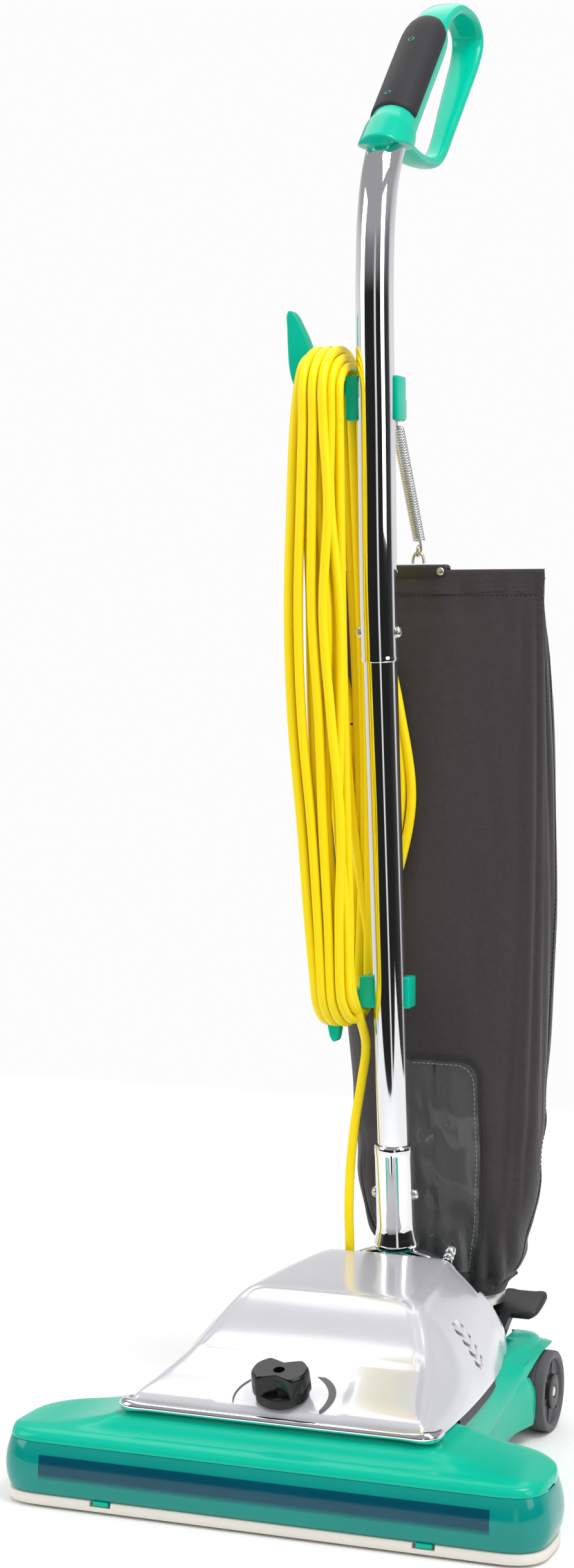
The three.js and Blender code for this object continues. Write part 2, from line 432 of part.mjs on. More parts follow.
// ---------------------------------------------------------------- motor hood
// Stations along Y: half width of the top, top height, half width at the rim, bulge of the side.
const HOOD = [
  [-279, 118, 84, 126.8, 0], [-276, 118.5, 87.5, 127.2, 0.5], [-270, 117, 91, 127.4, 1], [-240, 109, 100, 127.4, 2], [-204, 99.5, 110.8, 127, 4.2],
  [-198, 97.5, 114.5, 126.8, 4.5], [-156, 77, 147, 125, 7], [-148, 74, 149.6, 124.5, 7], [-100, 68, 152.2, 120.5, 7.5],
  [-60, 62.5, 153.4, 114.5, 8.5], [-34, 58.5, 153.8, 108.8, 10], [-22, 56, 153.4, 105.8, 11],
];
function hoodRing(y, o) {
  const [a, zt, b, bulge] = lerpTable(HOOD, y);
  const z0 = HOOD_Z0 - (o ? 12 : 0), A = a - o, B = b - o, Z = zt - o;
  const side = [];
  for (let i = 1; i <= 4; i++) {
    const f = i / 4;
    side.push([A + (B - A) * f + Math.sin(Math.PI * f) * bulge, Z - 4 + (HOOD_Z0 - (Z - 4)) * f]);
  }
  if (o) side.push([B, z0]);
  else side.push([B, HOOD_Z0 - 0.001]);
  const h = [[0, Z + 0.8], [A * 0.5, Z + 0.5], [A - 9, Z], [A - 3, Z - 1.1], [A, Z - 4], ...side];
  return [...h.map(([x, z]) => [x, y, z]), ...h.slice(1).reverse().map(([x, z]) => [-x, y, z])];
}
{
  const ring = hoodRing;
  const ys = HOOD.map((h) => h[0]);
  // the sides run on behind the top edge as two ears that wrap round the motor bay
  const ears = [-22, -10, 2, 12, 20];
  const ear = (y, o) => {
    const u = (y + 22) / 42;
    const [a, zt, b, bulge] = lerpTable(HOOD, -22);
    const drop = u * u * 62 + u * 4, B = b - u * u * 14 - o, A = a + u * 26 - o, Z = zt - drop - o;
    const z0 = HOOD_Z0 - (o ? 12 : 0);
    const side = [];
    for (let i = 1; i <= 4; i++) {
      const f = i / 4;
      side.push([A + (B - A) * f + Math.sin(Math.PI * f) * bulge * (1 - 0.6 * u), Z - 4 + (HOOD_Z0 - (Z - 4)) * f]);
    }
    side.push([B, o ? z0 : HOOD_Z0 - 0.001]);
    const h = [[0, Z + 0.8], [A * 0.5, Z + 0.5], [A - 9, Z], [A - 3, Z - 1.1], [A, Z - 4], ...side];
    return [...h.map(([x, z]) => [x, y, z]), ...h.slice(1).reverse().map(([x, z]) => [-x, y, z])];
  };
  const outer = loft([...ys.map((y) => ring(y, 0)), ...ears.slice(1).map((y) => ear(y, 0))]);
  const inner = loft([...[-276.5, ...ys.slice(2)].map((y) => ring(y, HOOD_WALL)), ...[...ears.slice(1, -1), 20, 30].map((y) => ear(Math.min(y, 20), HOOD_WALL).map(([x, , z]) => [x, y, z]))]);
  let s = cut(outer, inner);
  s = cut(s, box(-82, 82, -19.5, 40, 60, 200)); // open behind for the handle fork
  s = cut(s, rod(V(0, -262, 60), V(0, -262, 120), 9.4, 24)); // bore of the height dial
  // five chevron slots on each side
  for (const k of [-1, 1])
    for (let i = 0; i < 5; i++) {
      const z = 128 - i * 8;
      for (const dir of [-1, 1]) {
        const m = new THREE.Matrix4().makeTranslation(k * 105, -118 + dir * 6, z - 2.4).multiply(new THREE.Matrix4().makeRotationX(dir * 0.6));
        s = cut(s, solid(new THREE.BoxGeometry(40, 9, 2.6), m));
      }
    }
  for (const k of [-1, 1]) s = cut(s, rod(V(k * 104, -262, 70), V(k * 104, -262, 110), 2.6, 16)); // screw holes
  place("motor_hood", s, GREY);
}
{
  // chrome moulding along the front rim, set under the hood's front edge
  const path = [[-128.5, -262, 79.2], [-128.8, -272, 79.2], [-126.5, -279.6, 79.4], [-120, -283.2, 79.6], [-60, -283.6, 79.6], [0, -283.6, 79.6], [60, -283.6, 79.6], [120, -283.2, 79.6], [126.5, -279.6, 79.4], [128.8, -272, 79.2], [128.5, -262, 79.2]];
  let s = bar(path, 3.9, 14);
  const clear = loft([-279, -276, -270, -240].map((y) => hoodRing(y, -0.4).map(([x, , z]) => [x, y < -278 ? y - 0.4 : y, z])));
  s = cut(s, clear, box(-140, 140, -300, -240, 60, 75.6));
  place("hood_trim", s, CHROME);
}
for (const k of [-1, 1])
  place(k < 0 ? "hood_screw_left" : "hood_screw_right", add(rod(V(k * 104, -262, 78), V(k * 104, -262, 95.4), 2.2, 14), turned([[0, 0], [5, 0], [4.4, 2], [2.4, 3.1], [0, 3.3]], V(k * 104, -262, 95.2), V(0, -0.25, 1), 18)), STEEL);
{
  // height dial: a knob with two flats on a cam disc, turning about the axis square to the front shelf
  const c = V(0, -262, 93.2), n = V(0, -0.27, 0.963).normalize();
  const at = (h) => c.clone().addScaledVector(n, h);
  const lobes = new THREE.Shape();
  const pts = [[-21, -9], [-13, -15], [0, -10], [13, -15], [21, -9], [21, 9], [13, 15], [0, 10], [-13, 15], [-21, 9]];
  pts.forEach(([x, y], i) => (i ? lobes.lineTo(x, y) : lobes.moveTo(x, y)));
  const g = new THREE.ExtrudeGeometry(lobes, { depth: 15, bevelEnabled: true, bevelThickness: 1.5, bevelSize: 1.5, bevelSegments: 2, steps: 1 });
  const q = new THREE.Quaternion().setFromUnitVectors(V(0, 0, 1), n);
  let s = solid(g, new THREE.Matrix4().compose(at(8.5), q, V(1, 1, 1)));
  s = add(s, rod(at(1.6), at(9), 19.5, 30, 20.5), rod(at(-18), at(3), 6, 20));
  s = cut(s, rod(at(16), at(40), 4.2, 16));
  const lobe = (h) => [[-7, -7], [7, -7], [22, -6], [28, 0], [22, 6], [7, 7], [-7, 7]].map(([a, b]) => { const q = at(h).clone().add(V(a, 0, 0)).addScaledVector(V(0, n.z, -n.y), b); return [q.x, q.y, q.z]; });
  s = add(s, loft([lobe(-18), lobe(-14.6)])); // cam lobe under the hood
  place("height_knob", s, BLACK);
}

// ---------------------------------------------------------------- pedal, foot switch, strain relief
{
  const plate = loft([
    [[66, 74, 84], [98, 74, 81], [98, 74, 88], [66, 74, 91]],
    [[64, 82, 84], [103, 82, 81], [103, 82, 88.5], [64, 82, 91.5]],
    [[66, 104, 90], [106, 104, 87], [106, 104, 94], [66, 104, 97]],
    [[72, 116, 94], [102, 116, 91.5], [102, 116, 96], [72, 116, 98.5]],
  ]);
  let s = add(plate, box(74, 84, 36, 80, 83, 90), box(74, 84, 32, 50, 64, 90));
  s = cut(s, rod(V(60, 41, 70), V(95, 41, 70), 3.3, 20));
  place("release_pedal", s, BLACK);
  place("pedal_pin", add(rod(V(70.5, 41, 70), V(88.6, 41, 70), 3, 20), rod(V(68.8, 41, 70), V(71, 41, 70), 5, 20)), STEEL);
}
{
  const d = V(0, 0.82, 0.573).normalize(), c = V(52, -10, 150);
  place("foot_switch_body", add(box(45, 59, -16.5, -9, 118, 141), box(48, 56, -17.5, -14.5, 139, 143.5), rod(c.clone().addScaledVector(d, -8.6), c.clone().addScaledVector(d, -6.4), 3.6, 20)), BLACK);
  let s = turned([[0, -3], [4.6, -3], [4.6, 0], [3.6, 0.8], [4.6, 2], [4.6, 5.4], [3.4, 6.2], [4.6, 7.2], [4.6, 12.4], [3.8, 13.4], [0, 13.8]], c, d, 22);
  place("foot_switch_button", s, STEEL);
}
place("strain_relief", turned([[4.5, 0], [9, 0], [9, 5], [6.4, 6.5], [5.8, 20], [5.2, 34], [4.5, 34], [4.5, 0]], V(-37, -9, 112), V(0, 0, 1), 20), BLACK);
place("cord_bracket", cut(box(-50, -24, -34, 2, 118.6, 121.4), rod(V(-37, -9, 100), V(-37, -9, 130), 9.4, 24), box(-60, -10, 1, 10, 100, 140)), STEEL);

// ---------------------------------------------------------------- handle pivots and fork
for (const k of [-1, 1]) {
  let b = add(box(Math.min(k * 53, k * 57), Math.max(k * 53, k * 57), 2, 23, 11.4, 80), box(Math.min(k * 50, k * 66), Math.max(k * 50, k * 66), 2, 23, 11.4, 14));
  b = cut(b, rod(V(k * 40, PIVOT.y, PIVOT.z), V(k * 60, PIVOT.y, PIVOT.z), 4.3, 20));
  place(k < 0 ? "pivot_bracket_left" : "pivot_bracket_right", b, STEEL);
  place(k < 0 ? "fork_pin_left" : "fork_pin_right", add(rod(V(k * 49, PIVOT.y, PIVOT.z), V(k * 68, PIVOT.y, PIVOT.z), 4, 20), rod(V(k * 67.6, PIVOT.y, PIVOT.z), V(k * 70.6, PIVOT.y, PIVOT.z), 7, 20)), STEEL);
}
// centre line of the handle tubes, in the plane X = 0
const LEAN = V(0, -0.0925, 0.9957).normalize();
const POLE0 = V(0, 0.4, 245); // mouth of the fork's socket
const pole = (z) => POLE0.clone().addScaledVector(LEAN, (z - POLE0.z) / LEAN.z);
const JOINT = pole(661); // lower rim of the upper tube
const UPPER = new THREE.CatmullRomCurve3(
  [JOINT, pole(700), V(0, -45.5, 760), V(0, -49.6, 860), V(0, -54, 960), V(0, -53.5, 1000), V(0, -47, 1040), V(0, -32, 1078), V(0, -8, 1108), V(0, 20, 1137), V(0, 48, 1166)], false, "centripetal", 0.5);
{
  let arch = [];
  for (const q of curve([[-61.2, PIVOT.y, PIVOT.z], [-61.6, 13.6, 100], [-57, 11.5, 124], [-40, 9.6, 142], [-18, 8.4, 150], [0, 8, 152], [18, 8.4, 150], [40, 9.6, 142], [57, 11.5, 124], [61.6, 13.6, 100], [61.2, PIVOT.y, PIVOT.z]], 18)) arch.push(q);
  const rings = arch.map((p, i) => {
    const t = arch[Math.min(i + 1, arch.length - 1)].clone().sub(arch[Math.max(i - 1, 0)]).normalize();
    const n = t.clone().cross(V(0, 1, 0)).normalize(), s = n.clone().cross(t);
    return [[-1, -0.5], [-0.7, -1], [0.7, -1], [1, -0.5], [1, 0.5], [0.7, 1], [-0.7, 1], [-1, 0.5]].map(([a, b]) => {
      const q = p.clone().addScaledVector(s, a * 7).addScaledVector(n, b * 3);
      return [q.x, q.y, q.z];
    });
  });
  let s = loft(rings);
  for (const k of [-1, 1]) s = add(s, rod(V(k * 58.4, PIVOT.y, PIVOT.z), V(k * 64.4, PIVOT.y, PIVOT.z), 11, 28));
  const at = (z) => pole(z);
  s = add(s, turned([[0, 0], [19, 0], [20.5, 4], [18.6, 10], [17.2, 18], [17.1, 91], [16.4, 92], [0, 92], [0, 0]].map(([r, h]) => [r, h]), at(153.4), LEAN, 32));
  s = cut(s, rod(at(164), at(260), 14.6, 32));
  for (const k of [-1, 1]) s = cut(s, rod(V(k * 50, PIVOT.y, PIVOT.z), V(k * 70, PIVOT.y, PIVOT.z), 4.3, 20));
  s = cut(s, rod(V(-30, pole(201).y, 201), V(30, pole(201).y, 201), 2.9, 16));
  place("handle_fork", s, CHROME);
}
{
  const p0 = pole(164.6), p1 = pole(694);
  let s = cut(rod(p0, p1, TUBE_LOW_R, 32), rod(pole(160), pole(700), TUBE_LOW_R - 1.4, 32));
  s = cut(s, rod(V(-30, pole(201).y, 201), V(30, pole(201).y, 201), 2.9, 16), rod(V(-30, pole(684).y, 684), V(30, pole(684).y, 684), 2.9, 16));
  place("lower_tube", s, CHROME);
}
{
  const P = UPPER.getSpacedPoints(16);
  const ext = [P[0].clone().addScaledVector(P[0].clone().sub(P[1]).normalize(), 6), ...P.slice(1, -1), P[P.length - 1].clone().addScaledVector(P[P.length - 1].clone().sub(P[P.length - 2]).normalize(), 6)];
  let s = cut(bar(P, TUBE_UP_R, 20), bar(ext, TUBE_UP_R - 1.25, 20));
  s = cut(s, rod(V(-30, pole(684).y, 684), V(30, pole(684).y, 684), 2.9, 16));
  place("upper_tube", s, CHROME);
}
// through bolts with domed heads
for (const [name, z, r] of [["socket_bolt", 201, 17.3], ["tube_bolt", 684, 16.1]]) {
  const y = pole(z).y;
  place(name, add(rod(V(-r - 0.6, y, z), V(r + 0.6, y, z), 2.7, 16), turned([[0, 0], [4.6, 0], [4.2, 2], [2.6, 3.4], [0, 3.9]], V(r + 0.3, y, z), V(1, 0, 0), 18), turned([[0, 0], [4.6, 0], [4.2, 2], [2.6, 3.4], [0, 3.9]], V(-r - 0.3, y, z), V(-1, 0, 0), 18)), STEEL);
}

// ---------------------------------------------------------------- grip with its closed loop
const GRIP0 = V(0, -22, 1094), GA = V(0, 0.7, 0.714).normalize();
{
  const g = (h) => GRIP0.clone().addScaledVector(GA, h);
  // barrel: collar lip, straight body, rounded top
  let s = turned([[0, -22], [22.2, -22], [22.4, 3], [22.2, 9], [20.2, 15], [19.4, 22], [19.4, 138], [18.2, 149], [15, 158], [9, 164.5], [0, 167]], g(0), GA, 28);
  s = cut(s, box(-40, 40, -80, 30, 1040, 1089));
  // loop band: width along X, thickness square to the band
  const path = curve([[0, 70, 1188], [0, 96, 1216], [0, 124, 1231], [0, 158, 1237], [0, 186, 1234], [0, 199, 1221], [0, 190, 1200], [0, 168, 1173], [0, 140, 1140], [0, 116, 1112], [0, 98, 1098], [0, 76, 1091.5], [0, 40, 1090], [0, 4, 1094]], 22);
  const rings = path.map((p, i) => {
    const t = path[Math.min(i + 1, 22)].clone().sub(path[Math.max(i - 1, 0)]).normalize();
    const n = V(1, 0, 0).cross(t).normalize(), u = i / 22;
    const w = lerpTable([[0, 17], [0.2, 16], [0.45, 14], [0.7, 9.5], [0.82, 9], [1, 12]], u)[0], h = lerpTable([[0, 7], [0.25, 6], [0.5, 5], [0.75, 5], [1, 6]], u)[0];
    return Array.from({ length: 8 }, (_, k) => {
      const a = (k / 8) * 2 * Math.PI, c = Math.cos(a), si = Math.sin(a);
      const q = p.clone().add(V(w * Math.sign(c) * Math.abs(c) ** 0.7, 0, 0)).addScaledVector(n, h * Math.sign(si) * Math.abs(si) ** 0.8);
      return [q.x, q.y, q.z];
    });
  });
  s = add(s, loft(rings));
  // level lower end of the collar, with a tongue over the front of the tube
  s = cut(s, box(-40, 40, -80, 40, 1040, 1085.5));
  s = add(s, ball(V(0, -42.6, 1091), 9, 0.95, 0.5, 0.95, 12));
  // hole for the tube, which runs up into the grip
  const P = UPPER.getSpacedPoints(16);
  const tail = P.slice(-6);
  const e = tail[tail.length - 1].clone().addScaledVector(tail[tail.length - 1].clone().sub(tail[tail.length - 2]).normalize(), 3);
  s = cut(s, bar([...tail, e], TUBE_UP_R + 0.4, 20));
  // recess for the soft insert over the front half
  const pocket = cut(turned([[0, 24], [25, 24], [25, 152], [14, 166], [0, 170]], g(0), GA, 28), turned([[0, 20], [17.6, 20], [17.6, 144], [14, 153], [8, 158], [0, 160]], g(0), GA, 28));
  const front = solid(new THREE.BoxGeometry(60, 40, 200), new THREE.Matrix4().compose(g(80).clone().add(V(0, -0.714, 0.7).multiplyScalar(17)), new THREE.Quaternion().setFromUnitVectors(V(0, 0, 1), GA), V(1, 1, 1)));
  s = cut(s, pocket.intersect(front));
  place("grip_shell", s, GREEN);
  let ins = cut(turned([[0, 24.4], [19.7, 24.4], [20, 27], [20, 137], [18.8, 148.5], [15.4, 157], [9, 162.5], [0, 165]], g(0), GA, 28), turned([[0, 20], [18, 20], [18, 144], [14.4, 153.4], [8.3, 158.4], [0, 160.4]], g(0), GA, 28));
  const front2 = solid(new THREE.BoxGeometry(60, 39.2, 199), new THREE.Matrix4().compose(g(80).clone().add(V(0, -0.714, 0.7).multiplyScalar(17)), new THREE.Quaternion().setFromUnitVectors(V(0, 0, 1), GA), V(1, 1, 1)));
  place("grip_insert", ins.intersect(front2), RUBBER);
}

// ---------------------------------------------------------------- cord hooks clamped on the tube
{
  const zc = 878, y = UPPER.getPoint(0.5).y;
  const c = V(0, -50.4, zc);
  let s = add(box(-20.6, 18.5, c.y - 12, c.y + 22, zc - 18, zc + 18), box(-62, -18, -54, -38, zc + 5, zc + 14));
  s = add(s, box(-4, 16, c.y + 20, c.y + 34, zc - 16, zc + 2)); // ear for the bag spring
  // outer blade, curved upwards
  const blade = [[-61, 881], [-54.4, 884], [-54.4, 908], [-61, 928], [-73, 952], [-77, 954], [-79, 948], [-78, 926], [-76, 905], [-70, 886]];
  const sh = new THREE.Shape(blade.map(([a, b]) => new THREE.Vector2(a, b)));
  const g = new THREE.ExtrudeGeometry(sh, { depth: 12, bevelEnabled: false });
  s = add(s, solid(g, new THREE.Matrix4().makeTranslation(0, -40, 0).multiply(new THREE.Matrix4().makeRotationX(Math.PI / 2))));
  s = cut(s, rod(V(0, -48.6, 840), V(0, -52.2, 920), TUBE_UP_R + 0.35, 32));
  s = cut(s, rod(V(6, -18, 850), V(6, -18, 880), 3.4, 16));
  place("upper_cord_hook", s, GREEN);
}
{
  const zc = 377, cy = pole(zc).y;
  let s = add(box(-20.6, 18, cy - 12, cy + 20, zc - 13, zc + 13), box(-54, -18, -16.5, -0.5, zc - 7.5, zc + 2));
  const tongue = [[-55, 379], [-46.5, 377], [-45.5, 352], [-47, 335], [-50, 332], [-54, 336], [-57, 356], [-57, 372]];
  const g = new THREE.ExtrudeGeometry(new THREE.Shape(tongue.map(([a, b]) => new THREE.Vector2(a, b))), { depth: 12, bevelEnabled: false });
  s = add(s, solid(g, new THREE.Matrix4().makeTranslation(0, -2.5, 0).multiply(new THREE.Matrix4().makeRotationX(Math.PI / 2))));
  s = cut(s, rod(pole(350), pole(400), TUBE_LOW_R + 0.35, 32));
  place("lower_cord_hook", s, GREEN);
}

// ---------------------------------------------------------------- bag, its spring and clip
place("bag_spring", add(rod(V(6, -12.5, 857), V(6, 45, 764), 5.2, 16), bar(curve([[6, -12.5, 856], [6, -16.6, 861], [6, -18, 867], [6, -18, 878]], 4), 1.6, 8)), STEEL);
{
  // folded metal clip on the bag's top edge, with the S-hook
  let s = cut(box(-30, 42, 36.4, 49.6, 729, 744), box(-40, 50, 38.0, 48.0, 720, 741.5));
  s = add(s, bar(curve([[6, 42, 743], [6, 41, 750], [6, 43, 756], [6, 46, 760]], 6), 1.6, 8));
  place("bag_top_clip", s, STEEL);
}
// rows: height, left and right edge, middle in Y, half depth
const BAG = [
  [99, 12, 72, 72, 30], [112, 6, 77, 73, 32], [132, -20, 86, 74.5, 35], [159, -47, 92, 75, 37.5], [211, -50, 106.5, 74, 40], [273, -53, 115.5, 72, 42],
  [341, -60, 122.5, 70, 43], [397, -64, 125.5, 68.5, 43], [464, -69, 128, 66.5, 41], [564, -79, 127.5, 62, 36], [640, -86, 124.6, 56, 29],
  [690, -90, 121.4, 50, 19.5], [714, -92, 119.6, 46, 10], [727, -92.6, 118.6, 43.2, 4.2], [738.5, -92.6, 118.2, 42, 2.9],
];
{
  const ring = ([z, l, r, yc, d], o) => {
    const n = 18, cx = (l + r) / 2, w = (r - l) / 2 - o, dd = Math.max(1.2, d - o);
    return Array.from({ length: n }, (_, k) => {
      const a = (k / n) * 2 * Math.PI, c = Math.cos(a), s = Math.sin(a), e = z < 130 ? 1 : 0.86;
      return [cx + w * Math.sign(c) * Math.abs(c) ** e, yc + dd * Math.sign(s) * Math.abs(s) ** e, z];
    });
  };
  const outer = loft(BAG.map((b) => ring(b, 0)));
  const inner = loft([ring([94, ...BAG[0].slice(1)], 1.6), ...BAG.slice(0, -2).map((b) => ring(b, 1.6))]);
  let s = cut(outer, inner);
  s = cut(s, turned([[32.8, -10], [60, -10], [60, 12], [32.8, 12], [32.8, -10]], V(42, 72, 96), V(0, 0, 1), 36));
  place("dust_bag", s, CLOTH);
}

// ---------------------------------------------------------------- power cord: run, hank and plug
{
  const pts = curve([[-37, -9, 146.4], [-37.4, -9, 162], [-38.4, -8, 186], [-38, -5, 225], [-35, -2, 262], [-29, -1, 300], [-24, 0, 330], [-24.5, 1, 342.6]], 14);
  const sec = new THREE.Shape();
  sec.absarc(0, 0, CORD_R, 0, 2 * Math.PI);
  const g = new THREE.ExtrudeGeometry(sec, { curveSegments: 8, steps: 14, bevelEnabled: false, extrudePath: new THREE.CatmullRomCurve3(pts) });
  place("cord_run", solid(g), YELLOW);
}
{
  // long loop over the upper hook and under the lower one, leaning with the handle
  const top = V(0, -46, 893), bot = V(0, -8.5, 372), n = 10;
  const ax = top.clone().sub(bot).normalize(), pr = V(0, ax.z, -ax.y);
  const R = 28, r = 10.4, rings = [];
  const X = (z) => lerpTable([[340, -43, -21.4], [384, -44, -21.4], [440, -58, -21.8], [520, -68, -21.8], [760, -69, -21.8], [850, -60, -21.2], [870, -53.6, -21.2], [925, -52.6, -21.2]], z);
  const stations = [];
  for (let i = 0; i <= n; i++) stations.push([top, Math.PI * (1 - i / n)]);
  for (let i = 1; i < 6; i++) stations.push([top.clone().lerp(bot, i / 6), 0]);
  for (let i = 0; i <= n; i++) stations.push([bot, -Math.PI * (i / n)]);
  for (let i = 1; i < 6; i++) stations.push([bot.clone().lerp(top, i / 6), Math.PI]);
  for (const [c, a] of stations) {
    const d = pr.clone().multiplyScalar(Math.cos(a)).addScaledVector(ax, Math.sin(a));
    const o = c.clone().addScaledVector(d, R), q = c.clone().addScaledVector(d, r), [x0, x1] = X(o.z);
    rings.push([[x0, o.y, o.z], [x1, o.y, o.z], [x1, q.y, q.z], [x0, q.y, q.z]]);
  }
  place("cord_hank", loft(rings, true), YELLOW);
}
{
  const c = V(-46, 17.2, 560);
  let s = add(turned([[0, 0], [9.6, 0], [10.4, 3], [10.4, 20], [7.5, 30], [5.4, 44], [0, 44]], c, V(0, 0, 1), 20), box(-52.8, -51.3, 11.2, 18.2, 543, 562), box(-40.7, -39.2, 11.2, 18.2, 543, 562), rod(V(-46, 22, 544), V(-46, 22, 562), 2.3, 12));
  place("cord_plug", s, YELLOW);
}

export default root;
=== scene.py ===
"""Looks for the upright vacuum cleaner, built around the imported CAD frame. Lengths in the tables are millimetres, with Y counted from the pole socket's mouth."""
import json
import math
import bpy
import bmesh
import numpy as np
from mathutils import Matrix, Vector, noise


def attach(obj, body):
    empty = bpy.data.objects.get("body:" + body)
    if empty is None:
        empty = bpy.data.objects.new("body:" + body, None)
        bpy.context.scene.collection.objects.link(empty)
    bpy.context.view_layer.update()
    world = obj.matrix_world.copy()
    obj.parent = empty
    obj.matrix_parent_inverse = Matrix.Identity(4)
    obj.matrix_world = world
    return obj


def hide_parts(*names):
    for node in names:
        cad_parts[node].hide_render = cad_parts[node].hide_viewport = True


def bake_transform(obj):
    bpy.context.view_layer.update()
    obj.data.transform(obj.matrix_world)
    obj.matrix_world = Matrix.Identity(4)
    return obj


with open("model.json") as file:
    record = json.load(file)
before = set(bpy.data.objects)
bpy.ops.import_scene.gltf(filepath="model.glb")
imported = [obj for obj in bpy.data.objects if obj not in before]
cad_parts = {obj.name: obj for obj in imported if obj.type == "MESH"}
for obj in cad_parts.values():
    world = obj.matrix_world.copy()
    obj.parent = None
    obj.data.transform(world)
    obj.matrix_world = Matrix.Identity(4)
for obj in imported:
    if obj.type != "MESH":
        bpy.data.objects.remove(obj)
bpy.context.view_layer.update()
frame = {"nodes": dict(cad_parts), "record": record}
NODES = frame["nodes"]
SHIFT = 57.2


def P(x, y, z):
    return Vector((x / 1000, (y + SHIFT) / 1000, z / 1000))


# ---------------------------------------------------------------- camera
AZ, PITCH, FOCAL = math.radians(21.3478), math.radians(3.1934), 4195.58
cam_data = bpy.data.cameras.new("camera")
cam = bpy.data.objects.new("camera", cam_data)
bpy.context.scene.collection.objects.link(cam)
bpy.context.scene.camera = cam
fwd = Vector((-math.sin(AZ) * math.cos(PITCH), math.cos(AZ) * math.cos(PITCH), -math.sin(PITCH)))
cam.rotation_mode = "QUATERNION"
cam.rotation_quaternion = fwd.to_track_quat("-Z", "Y")
cam.location = (0.7533, -2.1806 + SHIFT / 1000, 0.6834)
cam_data.sensor_fit = "AUTO"
cam_data.sensor_width = 36.0
cam_data.lens = FOCAL / 2435 * 36.0
cam_data.clip_start, cam_data.clip_end = 0.05, 50
bpy.context.scene.view_settings.view_transform = "Standard"
bpy.context.scene.view_settings.look = "None"


# ---------------------------------------------------------------- materials
def lin(r, g, b):
    f = lambda c: (c / 255) / 12.92 if c <= 10 else ((c / 255 + 0.055) / 1.055) ** 2.4
    return (f(r), f(g), f(b), 1.0)


def material(name, color, rough=0.4, metal=0.0, coat=0.0, coat_rough=0.05, spec=0.5, vary=0.06, scale=60, bump=0.02, bump_scale=900,
             rough_vary=0.08, sheen=0.0, trans=0.0, ior=1.5, alpha=1.0, detail=None):
    m = bpy.data.materials.new(name)
    m.use_nodes = True
    nt = m.node_tree
    n, l = nt.nodes, nt.links
    b = n["Principled BSDF"]
    b.inputs["Metallic"].default_value = metal
    b.inputs["Coat Weight"].default_value = coat
    b.inputs["Coat Roughness"].default_value = coat_rough
    b.inputs["Specular IOR Level"].default_value = spec
    b.inputs["Sheen Weight"].default_value = sheen
    b.inputs["Transmission Weight"].default_value = trans
    b.inputs["IOR"].default_value = ior
    b.inputs["Alpha"].default_value = alpha
    tc = n.new("ShaderNodeTexCoord")
    big = n.new("ShaderNodeTexNoise")
    big.inputs["Scale"].default_value = scale
    big.inputs["Detail"].default_value = 4
    l.new(tc.outputs["Object"], big.inputs["Vector"])
    ramp = n.new("ShaderNodeMix")
    ramp.data_type = "RGBA"
    c0 = [max(0, c * (1 - vary)) for c in color[:3]] + [1]
    c1 = [min(1, c * (1 + vary)) for c in color[:3]] + [1]
    ramp.inputs[6].default_value = c0
    ramp.inputs[7].default_value = c1
    l.new(big.outputs["Fac"], ramp.inputs[0])
    l.new(ramp.outputs[2], b.inputs["Base Color"])
    mr = n.new("ShaderNodeMapRange")
    mr.inputs["To Min"].default_value = max(0.01, rough * (1 - rough_vary))
    mr.inputs["To Max"].default_value = min(1, rough * (1 + rough_vary))
    l.new(big.outputs["Fac"], mr.inputs["Value"])
    l.new(mr.outputs["Result"], b.inputs["Roughness"])
    if bump:
        fine = n.new("ShaderNodeTexNoise")
        fine.inputs["Scale"].default_value = bump_scale
        fine.inputs["Detail"].default_value = 2
        l.new(tc.outputs["Object"], fine.inputs["Vector"])
        bp = n.new("ShaderNodeBump")
        bp.inputs["Strength"].default_value = bump
        bp.inputs["Distance"].default_value = 0.0005
        l.new(fine.outputs["Fac"], bp.inputs["Height"])
        l.new(bp.outputs["Normal"], b.inputs["Normal"])
    if detail:
        detail(n, l, b, tc, ramp)
    return m


def weave(pitch):
    # crossed threads: two sets of waves in the cloth's plane drive the colour and the bump
    def make(n, l, b, tc, ramp):
        waves = []
        for axis in ("X", "Z"):
            w = n.new("ShaderNodeTexWave")
            w.wave_type = "BANDS"
            w.bands_direction = axis
            w.inputs["Scale"].default_value = 0.314 / pitch
            w.inputs["Distortion"].default_value = 1.2
            w.inputs["Detail"].default_value = 2
            w.inputs["Detail Scale"].default_value = 1.5
            l.new(tc.outputs["Object"], w.inputs["Vector"])
            waves.append(w)
        mx = n.new("ShaderNodeMath")
        mx.operation = "MULTIPLY"
        l.new(waves[0].outputs["Fac"], mx.inputs[0])
        l.new(waves[1].outputs["Fac"], mx.inputs[1])
        cm = n.new("ShaderNodeMix")
        cm.data_type = "RGBA"
        cm.blend_type = "MULTIPLY"
        cm.inputs[0].default_value = 0.55
        mr = n.new("ShaderNodeMapRange")
        mr.inputs["To Min"].default_value = 0.45
        mr.inputs["To Max"].default_value = 1.35
        l.new(mx.outputs[0], mr.inputs["Value"])
        l.new(ramp.outputs[2], cm.inputs[6])
        l.new(mr.outputs["Result"], cm.inputs[7])
        l.new(cm.outputs[2], b.inputs["Base Color"])
        bp = n.new("ShaderNodeBump")
        bp.inputs["Strength"].default_value = 0.5
        bp.inputs["Distance"].default_value = 0.0004
        l.new(mx.outputs[0], bp.inputs["Height"])
        l.new(bp.outputs["Normal"], b.inputs["Normal"])
    return make


